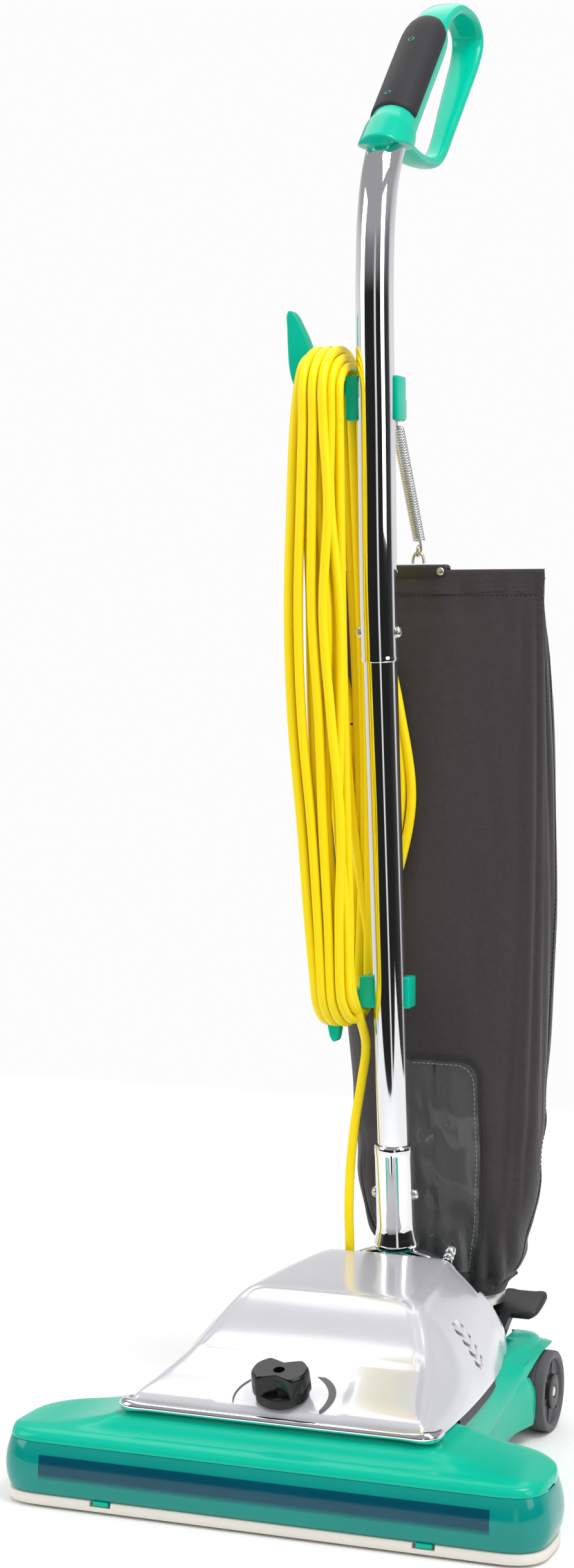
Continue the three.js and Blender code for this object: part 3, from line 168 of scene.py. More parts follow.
def brushed(axis=(1, 1, 30)):
    def make(n, l, b, tc, ramp):
        mp = n.new("ShaderNodeMapping")
        mp.inputs["Scale"].default_value = axis
        t = n.new("ShaderNodeTexNoise")
        t.inputs["Scale"].default_value = 60
        l.new(tc.outputs["Object"], mp.inputs["Vector"])
        l.new(mp.outputs["Vector"], t.inputs["Vector"])
        bp = n.new("ShaderNodeBump")
        bp.inputs["Strength"].default_value = 0.06
        bp.inputs["Distance"].default_value = 0.0003
        l.new(t.outputs["Fac"], bp.inputs["Height"])
        l.new(bp.outputs["Normal"], b.inputs["Normal"])
    return make


GREEN = material("green_plastic", lin(0, 180, 150), 0.2, coat=0.06, coat_rough=0.06, spec=0.22, vary=0.03, bump=0.015, bump_scale=500)
TEAL = material("teal_window", lin(0, 136, 126), 0.12, coat=0.15, coat_rough=0.03, spec=0.3, vary=0.10, scale=14, bump=0.01)
BAND = material("dark_band", lin(0, 70, 88), 0.14, coat=0.15, coat_rough=0.04, spec=0.3, vary=0.22, scale=18, bump=0.01)
SIDE = material("side_panel", lin(120, 158, 150), 0.42, vary=0.04, bump=0.05)
HOOD = material("hood_paint", lin(218, 218, 223), 0.20, metal=0.35, coat=0.5, coat_rough=0.06, vary=0.02, bump=0.012, bump_scale=1600)
DARKRING = material("dial_ring", lin(92, 92, 95), 0.4, vary=0.05)
CHROME = material("chrome", (0.86, 0.865, 0.88, 1), 0.045, metal=1, vary=0.02, scale=25, bump=0.0, rough_vary=0.4)
STEEL = material("zinc_steel", (0.66, 0.66, 0.65, 1), 0.28, metal=1, vary=0.06, bump=0.04, rough_vary=0.25, detail=brushed())
BRASSY = material("nickel_screw", (0.75, 0.72, 0.66, 1), 0.2, metal=1, vary=0.05, bump=0.02)
BLACK = material("black_plastic", lin(42, 43, 45), 0.45, vary=0.10, bump=0.08, bump_scale=1400)
KNOB = material("knob_black", lin(16, 16, 17), 0.2, coat=0.12, spec=0.35, coat_rough=0.05, vary=0.08, bump=0.01)
RUBBER = material("soft_grip", lin(34, 33, 36), 0.6, vary=0.08, bump=0.12, bump_scale=2200, sheen=0.06, spec=0.3)
TREAD = material("wheel_plastic", lin(86, 83, 86), 0.55, vary=0.06, bump=0.12, bump_scale=1200)
HUB = material("wheel_hub", lin(30, 30, 31), 0.4, vary=0.06, bump=0.04)
GUARD = material("guard_vinyl", lin(226, 220, 211), 0.42, vary=0.03, scale=20, bump=0.05)
CORD = material("cord_jacket", lin(255, 226, 0), 0.33, coat=0.1, spec=0.3, coat_rough=0.2, vary=0.03, scale=40, bump=0.05, bump_scale=700)
CLOTH = material("bag_cloth", lin(66, 61, 63), 0.92, vary=0.22, scale=220, sheen=0.35, spec=0.25, detail=weave(0.0011))
SEAM = material("seam_tape", lin(44, 41, 42), 0.85, vary=0.12, scale=300, sheen=0.2, detail=weave(0.0007))
THREAD = material("thread", lin(28, 26, 27), 0.8, vary=0.1, scale=400)
VINYL = material("clear_vinyl", lin(118, 118, 120), 0.10, coat=0.6, coat_rough=0.05, vary=0.05, scale=30, alpha=0.24, bump=0.25, bump_scale=60, spec=0.7)
BRISTLE = material("bristle", lin(30, 30, 31), 0.8, vary=0.2, bump=0.4, bump_scale=1500)
ALU = material("cast_aluminium", (0.62, 0.63, 0.64, 1), 0.42, metal=0.9, vary=0.06, bump=0.15, bump_scale=700)
BELT = material("belt_rubber", lin(34, 33, 34), 0.8, vary=0.1, bump=0.2)

CAD_LOOK = {
    "green_plastic": GREEN, "teal_clear": TEAL, "side_plastic": SIDE, "hood_grey": HOOD, "chrome": CHROME, "steel": STEEL, "black_plastic": BLACK,
    "knob_black": KNOB, "rubber": BELT, "wheel_grey": TREAD, "guard_grey": GUARD, "cord_yellow": CORD, "bag_cloth": CLOTH, "bristle": BRISTLE, "aluminium": ALU,
}
for sub in frame["record"]["subparts"]:
    o = NODES[sub["node"]]
    o.data.materials.clear()
    o.data.materials.append(CAD_LOOK[sub["material_slot"]])


# ---------------------------------------------------------------- mesh tools
def make(name, verts, faces, mat, body, nodes=(), slot=None, smooth=True, angle=40):
    me = bpy.data.meshes.new(name)
    me.from_pydata([tuple(v) for v in verts], [], faces)
    bm = bmesh.new()
    bm.from_mesh(me)
    bmesh.ops.remove_doubles(bm, verts=bm.verts, dist=1e-6)
    bmesh.ops.recalc_face_normals(bm, faces=bm.faces)
    bm.to_mesh(me)
    bm.free()
    o = bpy.data.objects.new(name, me)
    bpy.context.scene.collection.objects.link(o)
    me.materials.append(mat)
    finish_piece(o, body, nodes, smooth, angle)
    return o


def finish_piece(o, body, nodes=(), smooth=True, angle=40):
    if smooth:
        shade(o, angle)
    if body:
        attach(o, body)
    if nodes:
        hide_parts(*nodes)


def shade(o, angle=40):
    me = o.data
    me.polygons.foreach_set("use_smooth", [True] * len(me.polygons))
    bm = bmesh.new()
    bm.from_mesh(me)
    lim = math.radians(angle)
    for e in bm.edges:
        if len(e.link_faces) == 2:
            e.smooth = e.calc_face_angle(0) < lim
    bm.to_mesh(me)
    bm.free()


def loft(rings, closed=False, cap=True):
    n = len(rings[0])
    verts = [v for r in rings for v in r]
    faces = []
    k = len(rings)
    for i in range(k if closed else k - 1):
        a, b = i * n, ((i + 1) % k) * n
        for j in range(n):
            jj = (j + 1) % n
            faces.append((a + j, a + jj, b + jj, b + j))
    if not closed and cap:
        faces.append(tuple(reversed(range(n))))
        faces.append(tuple(range((k - 1) * n, k * n)))
    return verts, faces


def catmull(pts, n):
    """n+1 points evenly spaced along a centripetal Catmull-Rom curve."""
    p = [np.array(q, float) for q in pts]
    p = [2 * p[0] - p[1]] + p + [2 * p[-1] - p[-2]]
    out = []
    for i in range(1, len(p) - 2):
        t = [0.0]
        for a, b in ((0, 1), (1, 2), (2, 3)):
            t.append(t[-1] + max(1e-6, np.linalg.norm(p[i - 1 + b] - p[i - 1 + a])) ** 0.5)
        for u in np.linspace(t[1], t[2], 24, endpoint=False):
            A1 = (t[1] - u) / (t[1] - t[0]) * p[i - 1] + (u - t[0]) / (t[1] - t[0]) * p[i]
            A2 = (t[2] - u) / (t[2] - t[1]) * p[i] + (u - t[1]) / (t[2] - t[1]) * p[i + 1]
            A3 = (t[3] - u) / (t[3] - t[2]) * p[i + 1] + (u - t[2]) / (t[3] - t[2]) * p[i + 2]
            B1 = (t[2] - u) / (t[2] - t[0]) * A1 + (u - t[0]) / (t[2] - t[0]) * A2
            B2 = (t[3] - u) / (t[3] - t[1]) * A2 + (u - t[1]) / (t[3] - t[1]) * A3
            out.append((t[2] - u) / (t[2] - t[1]) * B1 + (u - t[1]) / (t[2] - t[1]) * B2)
    out.append(p[-2])
    out = np.array(out)
    s = np.concatenate([[0], np.cumsum(np.linalg.norm(np.diff(out, axis=0), axis=1))])
    u = np.linspace(0, s[-1], n + 1)
    return [Vector([np.interp(x, s, out[:, k]) for k in range(3)]) for x in u]


def frames(pts, up=None):
    res = []
    side = None
    for i, p in enumerate(pts):
        t = (pts[min(i + 1, len(pts) - 1)] - pts[max(i - 1, 0)]).normalized()
        if side is None:
            side = Vector((1, 0, 0)) if abs(t.x) < 0.9 else Vector((0, 1, 0))
        side = (side - t * side.dot(t)).normalized()
        res.append((p, t, side.copy(), t.cross(side)))
    return res


def tube_rings(pts, r, seg=20, sx=1.0):
    rings = []
    for i, (p, t, s, u) in enumerate(frames(pts)):
        rr = r[i] if hasattr(r, "__len__") else r
        rings.append([p + s * (rr * sx * math.cos(2 * math.pi * j / seg)) + u * (rr * math.sin(2 * math.pi * j / seg)) for j in range(seg)])
    return rings


def tube(name, pts, r, mat, body, seg=20, nodes=(), slot=None, cap=True, angle=40):
    v, f = loft(tube_rings(pts, r, seg), cap=cap)
    return make(name, v, f, mat, body, nodes, slot, angle=angle)


def lathe_geo(profile, p, d, seg=48):
    """profile: (radius, height) along d from p; a radius of 0 is a pole."""
    d = d.normalized()
    a = Vector((1, 0, 0)) if abs(d.x) < 0.9 else Vector((0, 1, 0))
    a = (a - d * a.dot(d)).normalized()
    b = d.cross(a)
    verts, faces, idx = [], [], []
    for r, h in profile:
        if r <= 1e-9:
            idx.append([len(verts)])
            verts.append(p + d * h)
        else:
            idx.append(list(range(len(verts), len(verts) + seg)))
            verts += [p + d * h + a * (r * math.cos(2 * math.pi * j / seg)) + b * (r * math.sin(2 * math.pi * j / seg)) for j in range(seg)]
    for A, B in zip(idx, idx[1:]):
        for j in range(seg):
            k = (j + 1) % seg
            if len(A) == 1 and len(B) == 1:
                continue
            if len(A) == 1:
                faces.append((A[0], B[j], B[k]))
            elif len(B) == 1:
                faces.append((A[j], A[k], B[0]))
            else:
                faces.append((A[j], A[k], B[k], B[j]))
    return verts, faces


def lathe(name, profile, p, d, mat, body, seg=48, nodes=(), slot=None, angle=35):
    v, f = lathe_geo([(r / 1000, h / 1000) for r, h in profile], p, d, seg)
    return make(name, v, f, mat, body, nodes, slot, angle=angle)


def join(name, objs):
    bpy.ops.object.select_all(action="DESELECT")
    for o in objs:
        o.select_set(True)
    bpy.context.view_layer.objects.active = objs[0]
    bpy.ops.object.join()
    objs[0].name = name
    return objs[0]


def apply_mods(o):
    dg = bpy.context.evaluated_depsgraph_get()
    me = bpy.data.meshes.new_from_object(o.evaluated_get(dg), depsgraph=dg)
    old = o.data
    o.modifiers.clear()
    o.data = me
    bpy.data.meshes.remove(old)
    return o


def raw(name, verts, faces, mat):
    return make(name, verts, faces, mat, None, smooth=False)


def boolean(o, cutter, op="DIFFERENCE"):
    m = o.modifiers.new("b", "BOOLEAN")
    m.operation = op
    m.object = cutter
    m.solver = "EXACT"
    apply_mods(o)
    bpy.data.objects.remove(cutter)
    return o


def bevel(o, width, seg=3, angle=35):
    m = o.modifiers.new("bv", "BEVEL")
    m.width = width
    m.segments = seg
    m.limit_method = "ANGLE"
    m.angle_limit = math.radians(angle)
    m.harden_normals = False
    return apply_mods(o)


def box_geo(x0, x1, y0, y1, z0, z1):
    v = [P(x, y, z) for x in (x0, x1) for y in (y0, y1) for z in (z0, z1)]
    return v, [(0, 1, 3, 2), (4, 6, 7, 5), (0, 4, 5, 1), (2, 3, 7, 6), (0, 2, 6, 4), (1, 5, 7, 3)]


def lerp_table(t, u):
    if u <= t[0][0]:
        return list(t[0][1:])
    for a, b in zip(t, t[1:]):
        if u <= b[0]:
            f = (u - a[0]) / (b[0] - a[0])
            return [p + (q - p) * f for p, q in zip(a[1:], b[1:])]
    return list(t[-1][1:])


def smooth_table(t, u):
    """Cubic reading of a table, so that a loft through it has no kinks."""
    xs = np.array([r[0] for r in t], float)
    out = []
    for k in range(1, len(t[0])):
        ys = np.array([r[k] for r in t], float)
        d = np.diff(ys) / np.diff(xs)
        m = np.concatenate([[d[0]], np.where(d[:-1] * d[1:] > 0, 2 * d[:-1] * d[1:] / (d[:-1] + d[1:] + 1e-12), 0), [d[-1]]])
        i = int(np.clip(np.searchsorted(xs, u) - 1, 0, len(xs) - 2))
        h = xs[i + 1] - xs[i]
        s = np.clip((u - xs[i]) / h, 0, 1)
        out.append(float((2 * s**3 - 3 * s**2 + 1) * ys[i] + (s**3 - 2 * s**2 + s) * h * m[i] + (-2 * s**3 + 3 * s**2) * ys[i + 1] + (s**3 - s**2) * h * m[i + 1]))
    return out


# ---------------------------------------------------------------- power cord: run, hank and tail
CORD_D = 0.0083
RUN = [(-37, -9, 146.4), (-37.4, -9, 162), (-38.4, -8, 186), (-38, -5, 225), (-35, -2, 262), (-29, -1, 300), (-25.5, -1, 330)]
HOOK_TOP = (-46.0, 884.0)  # Y and Z of the middle of the hank's upper bend
HOOK_BOT = (-8.5, 386.0)
# one row for each turn: X at the upper hook, X at the middle in front, X at the lower hook, X at the middle behind, radius above, radius below
TURNS = [
    (-25.0, -26.5, -26.5, -25.5, 26, 27), (-33.5, -35.0, -31.0, -30.0, 26, 28), (-42.0, -47.0, -39.5, -36.0, 26, 28),
    (-49.0, -57.0, -48.0, -44.0, 26, 28), (-29.5, -30.5, -26.0, 7.0, 34.5, 36), (-38.0, -40.5, -35.0, -2.0, 34.5, 36.5),
    (-46.5, -52.0, -43.5, -25.0, 34.5, 36.5), (-53.0, -63.5, -51.5, -65.0, 34.5, 36.5), (-33.5, -33.5, -30.0, -17.5, 43, 45),
    (-42.0, -44.5, -38.5, -26.0, 43, 45), (-50.5, -59.0, -46.5, -65.0, 43, 45.5), (-56.0, -67.0, -53.0, -60.0, 38, 44),
]


# X of the turns of the two outer layers at six heights in front, so that they wander and cross what lies behind them
WAVES = {
    4: (-26, -30, -26, -24, -31, -29.5), 5: (-36, -40, -38, -35, -41, -38), 6: (-45, -50, -49, -50, -50.5, -47), 7: (-53, -59.5, -63, -62, -60, -54.5),
    8: (-29, -25, -31, -36, -30, -33), 9: (-39, -41, -42, -46, -44, -42), 10: (-48, -51, -57, -58, -54, -51), 11: (-57, -61, -67, -68, -64, -60),
}


def hank_points():
    """The wound turns as one line, from the lower hook up in front, over the upper hook and down behind."""
    pts = []
    (ty, tz), (by, bz) = HOOK_TOP, HOOK_BOT
    ax = Vector((0, ty - by, tz - bz)).normalized()
    back = Vector((0, ax.z, -ax.y))
    n = len(TURNS)
    for i, (xt, xf, xb, xr, ra, rb) in enumerate(TURNS):
        nxt = TURNS[min(i + 1, n - 1)]
        top, bot = Vector((0, ty, tz)), Vector((0, by, bz))
        wob = 2.5 * math.sin(i * 2.4)
        # up in front
        for k, u in enumerate((0.0, 0.12, 0.28, 0.46, 0.64, 0.82, 0.95)):
            x = smooth_table([(0, xb), (0.5, xf + wob), (1, xt)], u)[0]
            if i in WAVES and u > 0:
                x = WAVES[i][k - 1]
            r = rb + (ra - rb) * u + 5.0 * math.sin(math.pi * u) * (0.4 if i < 4 else 0.7)
            q = bot.lerp(top, u) - back * r
            pts.append(Vector((x, q.y, q.z)))
        # over the upper hook
        for a in (0.10, 0.26, 0.42, 0.58, 0.74, 0.90):
            an = math.pi * (1 - a)
            q = top + back * (ra * math.cos(an)) + ax * (ra * 0.82 * math.sin(an))
            pts.append(Vector((xt + (xr - xt) * 0.06 * a, q.y, q.z)))
        # down behind
        for u in (0.95, 0.80, 0.62, 0.46, 0.30, 0.14, 0.03):
            x = smooth_table([(0, nxt[2]), (0.38, xr), (1, xt)], u)[0]
            if i in (4, 5):
                x = smooth_table([(0, nxt[2]), (0.30, xr), (0.66, -20), (1, xt)], u)[0]
            r = rb + (ra - rb) * u + 2.0 * math.sin(math.pi * u) * (i % 3)
            if i == 3:
                r -= 3.0 * math.sin(math.pi * u)
            if i in (4, 5):
                r = max(r, 32 + 14 * math.sin(math.pi * u))
            q = bot.lerp(top, u) + back * r
            pts.append(Vector((x, q.y, q.z)))
        # under the lower hook
        rn = nxt[5]
        for a in (0.10, 0.30, 0.50, 0.70, 0.90):
            an = math.pi * a
            r = rb + (rn - rb) * a
            q = bot + back * (r * math.cos(an)) - ax * (r * 0.8 * math.sin(an))
            pts.append(Vector((nxt[2], q.y, q.z)))
    return pts


hank = hank_points()
# the last turn comes down behind the hank onto the plug, whose cable end points up
tail = [Vector(q) for q in [(-57.5, 14.2, 664), (-51, 16.6, 640), (-46.6, 17.2, 622), (-46, 17.2, 606)]]
line = [Vector(q) for q in RUN] + hank[:-9] + tail
cord_pts = catmull([P(*q) for q in line], 2200)
cord = tube("power_cord", cord_pts, CORD_D / 2, CORD, None, seg=10, nodes=("cord_run", "cord_hank"), slot="cord_yellow")

plug = NODES["cord_plug"]
pc = P(-46, 17.2, 560)
pv = []
plug_parts = [
    raw("pl0", *lathe_geo([(r / 1000, h / 1000) for r, h in [(0, 0), (8.6, 0), (9.6, 1), (10.4, 3), (10.4, 19), (9.9, 21), (8.2, 27), (7.2, 31), (6.4, 37), (5.4, 43), (5, 44), (0, 44)]], pc, Vector((0, 0, 1)), 40), CORD),
]
for k in range(3):
    plug_parts.append(raw(f"pr{k}", *lathe_geo([(r / 1000, h / 1000) for r, h in [(6.2 - k * 0.4, 0), (8.1 - k * 0.6, 0.6), (8.1 - k * 0.6, 2.0), (6.2 - k * 0.4, 2.6)]], pc + Vector((0, 0, 0.029 + k * 0.0045)), Vector((0, 0, 1)), 32), CORD))
for x0, x1 in ((-52.8, -51.3), (-40.7, -39.2)):
    b = raw("bl", *box_geo(x0, x1, 11.6, 17.8, 543.4, 561), STEEL)
    b.data.materials[0] = BRASSY
    plug_parts.append(b)
g = raw("gp", *lathe_geo([(0, 0), (0.0017, 0.0002), (0.0023, 0.0015), (0.0023, 0.018), (0, 0.018)], P(-46, 22, 543.6), Vector((0, 0, 1)), 20), BRASSY)
plug_parts.append(g)
plug_obj = join("mains_plug", plug_parts)
finish_piece(plug_obj, "handle", ("cord_plug",), True, 35)

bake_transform(cord)


# ---------------------------------------------------------------- nozzle
PLAN_R = [(0, -312.5), (60, -312.5), (120, -312.5), (160, -312.5), (186, -312.4), (197, -311.6), (207, -308.2), (214, -302), (217.8, -294), (219, -283),
          (219, -272), (218.6, -262), (217, -250), (213, -238), (205.5, -227), (195, -217.5), (183, -211.2), (170, -208.4), (150, -208), (90, -208), (40, -208), (0, -208)]


def outline(n=130):
    half = catmull([(x, y, 0) for x, y in PLAN_R], n)
    return [(p.x, p.y) for p in half]


def with_normals(pl):
    out = []
    for i, p in enumerate(pl):
        a, b = pl[max(i - 1, 0)], pl[min(i + 1, len(pl) - 1)]
        t = Vector((b[0] - a[0], b[1] - a[1])).normalized()
        nn = Vector((t.y, -t.x))
        if i in (0, len(pl) - 1):
            nn = Vector((0, -1 if i == 0 else 1))
        out.append((p, nn))
    return out


HALF = with_normals(outline())


def stations(limit_y):
    """Points of the plan with normals, from the right back end round the front to the left back end, in front of limit_y."""
    right = [(p, n) for p, n in HALF if p[1] <= limit_y]
    left = [((-p[0], p[1]), Vector((-n.x, n.y))) for p, n in right[1:]]
    return list(reversed(right)) + left


def sweep(name, section, limit_y, mat, slot, nodes, x_limit=None, angle=40, body="base"):
    """section: closed polygon of (offset, z), swept round the front of the nozzle."""
    rings = []
    for (x, y), n in stations(limit_y):
        if x_limit and abs(x) > x_limit:
            continue
        rings.append([P(x + n.x * o, y + n.y * o, z) for o, z in section])
    v, f = loft(rings)
    return make(name, v, f, mat, body, nodes, slot, angle=angle)


def bulge(z):
    u = (z - 10.8) / (51.2 - 10.8)
    return 4.8 * max(0.0, math.sin(math.pi * min(1, max(0, u)) ** 0.9)) ** 0.85 if 0 < u < 1 else 0.0


zs = [10.8 + (51.2 - 10.8) * (i / 26) for i in range(27)]
win = [(bulge(z), z) for z in zs] + [(-1.2, 51.5)] + [(bulge(z) - 3, z) for z in reversed(zs)] + [(-1.2, 10.5)]
sweep("front_lens", win, -224.6, TEAL, "teal_clear", ("front_window",), angle=50)
# dark magnet bar seen through the lens, moulded as a band on its inner face
band = [(bulge(z) + 0.22, z) for z in np.linspace(27.5, 42.6, 12)] + [(bulge(z) - 0.6, z) for z in np.linspace(42.6, 27.5, 12)]
sweep("lens_band", band, -224.6, BAND, "teal_clear", (), x_limit=184)
# the bar's blurred edges, seen through the lens
EDGES = [material("band_edge_%d" % i, lin(0, 70 + 22 * (i + 1), 88 + 13 * (i + 1)), 0.14, coat=0.15, spec=0.3, vary=0.15, scale=18, bump=0.01) for i in range(2)]
for i, (a, b) in enumerate(((25.8, 27.5), (24.1, 25.8))):
    e = [(bulge(z) + 0.2 - 0.03 * i, z) for z in np.linspace(a, b, 3)] + [(bulge(z) - 0.6, z) for z in np.linspace(b, a, 3)]
    sweep("lens_band_edge_%d" % i, e, -224.6, EDGES[i], "teal_clear", (), x_limit=184 + 2 * i)
lip = [(bulge(z) + 0.16, z) for z in np.linspace(43.2, 44.6, 3)] + [(bulge(z) - 0.6, z) for z in np.linspace(44.6, 43.2, 3)]
sweep("lens_rib", lip, -224.6, TEAL, "teal_clear", (), x_limit=184)
gs = [(0.2, 2.0), (1.3, 2.4), (2.0, 3.6), (2.1, 6.5), (1.9, 8.6), (1.2, 9.9), (0.2, 10.4), (-4.6, 10.4), (-5, 10), (-5, 2.4), (-4.6, 2)]
guard = sweep("vinyl_guard", gs, -224.6, GUARD, "guard_grey", ("furniture_guard",), angle=30)
for k in (-1, 1):
    guard = boolean(guard, raw("c", *box_geo(k * 132 - 9, k * 132 + 9, -330, -308.6, 6.2, 20), GUARD))
    tab = raw("guard_tab_" + ("left" if k < 0 else "right"), *box_geo(k * 132 - 6.5, k * 132 + 6.5, -313.6, -309.2, 6.6, 10.5), GREEN)
    bevel(tab, 0.0006, 2)
    finish_piece(tab, "base", ())
shade(guard, 30)

TN = [(0, -312.5, -208, 74.5), (118, -312.5, -208, 74.5), (132, -312.5, -208, 72.6), (146, -312.5, -208, 68.6), (160, -312.5, -208.1, 65.2), (174, -312.5, -209, 63.0),
      (186, -312.4, -212.2, 62), (197, -311.4, -218.8, 61.6), (206, -308.6, -228, 61), (213, -303, -238.5, 60.2), (217, -295.8, -250, 59.2), (218.4, -290, -257, 58.2), (219, -283, -264, 56.4)]


def nozzle_section(x):
    f, b, t = smooth_table(TN, abs(x))
    q = min(1, (b - f) / 100)
    rise = max(0, t - 62)
    zf = min(62, t)
    pts = [(f, 51.6), (f, 53.4), (f + 0.4 * q, 55.4), (f + 1.5 * q, 57.2), (f + 3.4 * q, 58.8), (f + 6.4 * q, 60.0), (f + 10 * q, 60.8), (f + 14 * q, 61.5)]
    pts = [(y, z - (62 - zf)) if i > 1 else (y, z) for i, (y, z) in enumerate(pts)]
    top = [(f + u * q, zf + rise * g) for u, g in ((18, 0.30), (22, 0.52), (26, 0.74), (30, 0.91), (34, 0.985), (40, 1.0), (52, 1.0), (66, 1.0))]
    back = [(b - 14 * q, zf + rise), (b - 8 * q, zf + rise - 0.2), (b - 4.6 * q, zf + rise - 1.2), (b - 2.2 * q, zf + rise - 3.2), (b - 0.7 * q, zf + rise - 6.2), (b, zf + rise - 10), (b, 30), (b, 12.4)]
    outer = pts + top + back
    inner = [(b - 3, 12.4), (b - 3, 30), (b - 3.4, zf + rise - 12), (b - 9 * q, zf + rise - 4.5), (f + 66 * q, zf + rise - 3.2), (f + 40 * q, zf + rise - 3.4), (f + 22 * q, zf + rise * 0.4 - 3.6), (f + 8 * q, zf - 5), (f + 3, 51.6)]
    return outer + inner


xs = np.concatenate([np.linspace(0, 112, 15), np.linspace(116, 200, 29), np.linspace(202, 219, 14)])
xs = np.concatenate([-xs[::-1], xs[1:]])
v, f = loft([[P(x, y, z) for y, z in nozzle_section(x)] for x in xs])
noz = raw("nozzle_shell", v, f, GREEN)
cut = join("cuts", [raw("c1", *box_geo(-62, 62, -276, -200, 40, 90), GREEN)])
boolean(noz, cut)
boolean(noz, raw("c2", *box_geo(-112, 112, -215, -200, 0, 71), GREEN))
finish_piece(noz, "base", ("nozzle_housing",), True, 38)

# ---------------------------------------------------------------- motor hood
HOODT = [(-279, 118, 84.5, 126.8, 0.3), (-276, 118.4, 88, 127.2, 0.6), (-270, 117, 91, 127.4, 1), (-240, 109, 100, 127.4, 2), (-210, 101.2, 109.4, 127, 4),
         (-198, 97, 115, 126.8, 4.6), (-156, 77, 147, 125, 7), (-148, 74, 149.8, 124.5, 7), (-136, 72, 150.8, 123.6, 7), (-100, 68, 152.2, 120.5, 7.5),
         (-60, 62.5, 153.4, 114.5, 8.5), (-34, 58.5, 153.8, 108.8, 10), (-22, 56, 153.4, 105.8, 11)]


def hood_row(y):
    if y <= -22:
        a, zt, b, bu = smooth_table(HOODT, y)
    else:
        u = (y + 22) / 42
        a, zt, b, bu = smooth_table(HOODT, -22)
        a, zt, b, bu = a + u * 26, zt - u * u * 62 - u * 4, b - u * u * 14, bu * (1 - 0.6 * u)
    return a, zt, b, bu


def edge_step(d, w=2.2):
    """0 outside, 1 inside, over w mm."""
    u = min(1, max(0, 0.5 + d / w))
    return u * u * (3 - 2 * u)


def rounded(x, y, cx, cy, hx, hy, r):
    qx, qy = abs(x - cx) - hx + r, abs(y - cy) - hy + r
    return -(math.hypot(max(qx, 0), max(qy, 0)) + min(max(qx, qy), 0) - r)


def hood_relief(x, y):
    """How far the hood's skin stands out: a raised panel on the slope, and a sunk pad for the dial on the shelf."""
    half = lerp_table([(-206, 93), (-196, 88), (-156, 66.5), (-148, 63)], y)[0]
    ym, hy = -181, 27.5
    d = rounded(x / half * 80, y, 0, ym, 80, hy, 9) * 1.0
    panel = 1.5 * edge_step(d, 3.4)
    d2 = min(47 + (y + 240) * -0.18 - abs(x), -229 - y)
    pad = -1.5 * edge_step(d2, 2.4) if y < -222 else 0
    return panel + pad


def hood_ring(y, inset=0.0, relief=True):
    a, zt, b, bu = hood_row(y)
    a, b, zt = a - inset, b - inset, zt - inset
    z0 = 75.2 - (12 if inset else 0)
    r = min(9.0, 0.42 * (zt - 75.2))
    s0 = Vector((b - a, z0 - zt))
    pts = []
    for i in range(27):
        x = (a - r) * i / 26
        z = zt + 0.8 * (1 - (x / a) ** 2)
        pts.append((x, z + (hood_relief(x, y) if relief and y < -140 else 0)))
    # corner, an arc from the flat top into the sloping side
    slope = math.atan2(z0 - zt, b - a)
    for i in range(1, 9):
        u = i / 8
        p0, p1 = Vector((a - r, zt + 0.8 * (1 - ((a - r) / a) ** 2))), Vector((a, zt + 0.1))
        p2 = Vector((a + math.cos(slope) * r, zt + math.sin(slope) * r))
        q = p0 * (1 - u) ** 2 + p1 * 2 * u * (1 - u) + p2 * u * u
        pts.append((q.x, q.y))
    x1, z1 = pts[-1]
    for i in range(1, 23):
        u = i / 22
        pts.append((x1 + (b - x1) * u + math.sin(math.pi * u) * bu, z1 + (z0 - z1) * u))
    return [P(x, y, z) for x, z in pts] + [P(-x, y, z) for x, z in reversed(pts[1:])]


ys = list(np.linspace(-279, -140, 62)) + list(np.linspace(-134, -22, 20)) + [-14, -6, 2, 8, 14, 20]
v, f = loft([hood_ring(y) for y in ys])
hood = raw("hood_shell", v, f, HOOD)
ys2 = [-276.2] + list(np.linspace(-272, -140, 30)) + list(np.linspace(-130, -22, 14)) + [-14, -6, 2, 8, 14, 20]
rings = [hood_ring(y, 2.4, False) for y in ys2]
rings.append([q + Vector((0, 0.02, 0)) for q in rings[-1]])
v, f = loft(rings)
boolean(hood, raw("inner", v, f, HOOD))
boolean(hood, raw("c", *box_geo(-82, 82, -19.5, 40, 60, 200), HOOD))
bevel(hood, 0.0012, 3, 55)
slots = []
for k in (-1, 1):
    for i in range(5):
        for d in (-1, 1):
            o = raw("s", *box_geo(-16, 16, -5.6, 5.6, -2.0, 2.0), HOOD)
            o.data.transform(Matrix.Translation(P(k * 108, -118 + d * 6.4, 126.5 - i * 8)) @ Matrix.Rotation(d * 0.62, 4, "X") @ Matrix.Translation(-P(0, 0, 0)))
            slots.append(o)
boolean(hood, join("slots", slots))
boolean(hood, raw("bore", *lathe_geo([(0, -0.03), (0.0094, -0.03), (0.0094, 0.03), (0, 0.03)], P(0, -262, 93), Vector((0, 0, 1)), 40), HOOD))
finish_piece(hood, "base", ("motor_hood",), True, 42)
# black sheet just inside the hood's inner face: painted shade, so the hood's inside and the view through its vent slots
# read dark
ys3 = list(np.linspace(-196, -40, 24))
v, f = loft([hood_ring(y, 2.7, False)[8:-8] for y in ys3], cap=False)
k8 = len(hood_ring(-100, 3.6, False)[8:-8])
f = [q for q in f if not (any(i % k8 == 0 for i in q) and any(i % k8 == k8 - 1 for i in q))]
hood_shade_sheet = raw("hood_painted_shade_sheet", v, f, BLACK)
finish_piece(hood_shade_sheet, "base", (), True, 50)
trim_path = catmull([P(*q) for q in [(-127.6, -256, 79.0), (-128.4, -268, 79.2), (-126.6, -277.4, 79.4), (-119, -282.4, 79.6), (-100, -283.2, 79.6), (-60, -283.6, 79.6), (0, -283.6, 79.6), (60, -283.6, 79.6), (100, -283.2, 79.6),
                                 (119, -282.4, 79.6), (126.6, -277.4, 79.4), (128.4, -268, 79.2), (127.6, -256, 79.0)]], 150)
rings = []
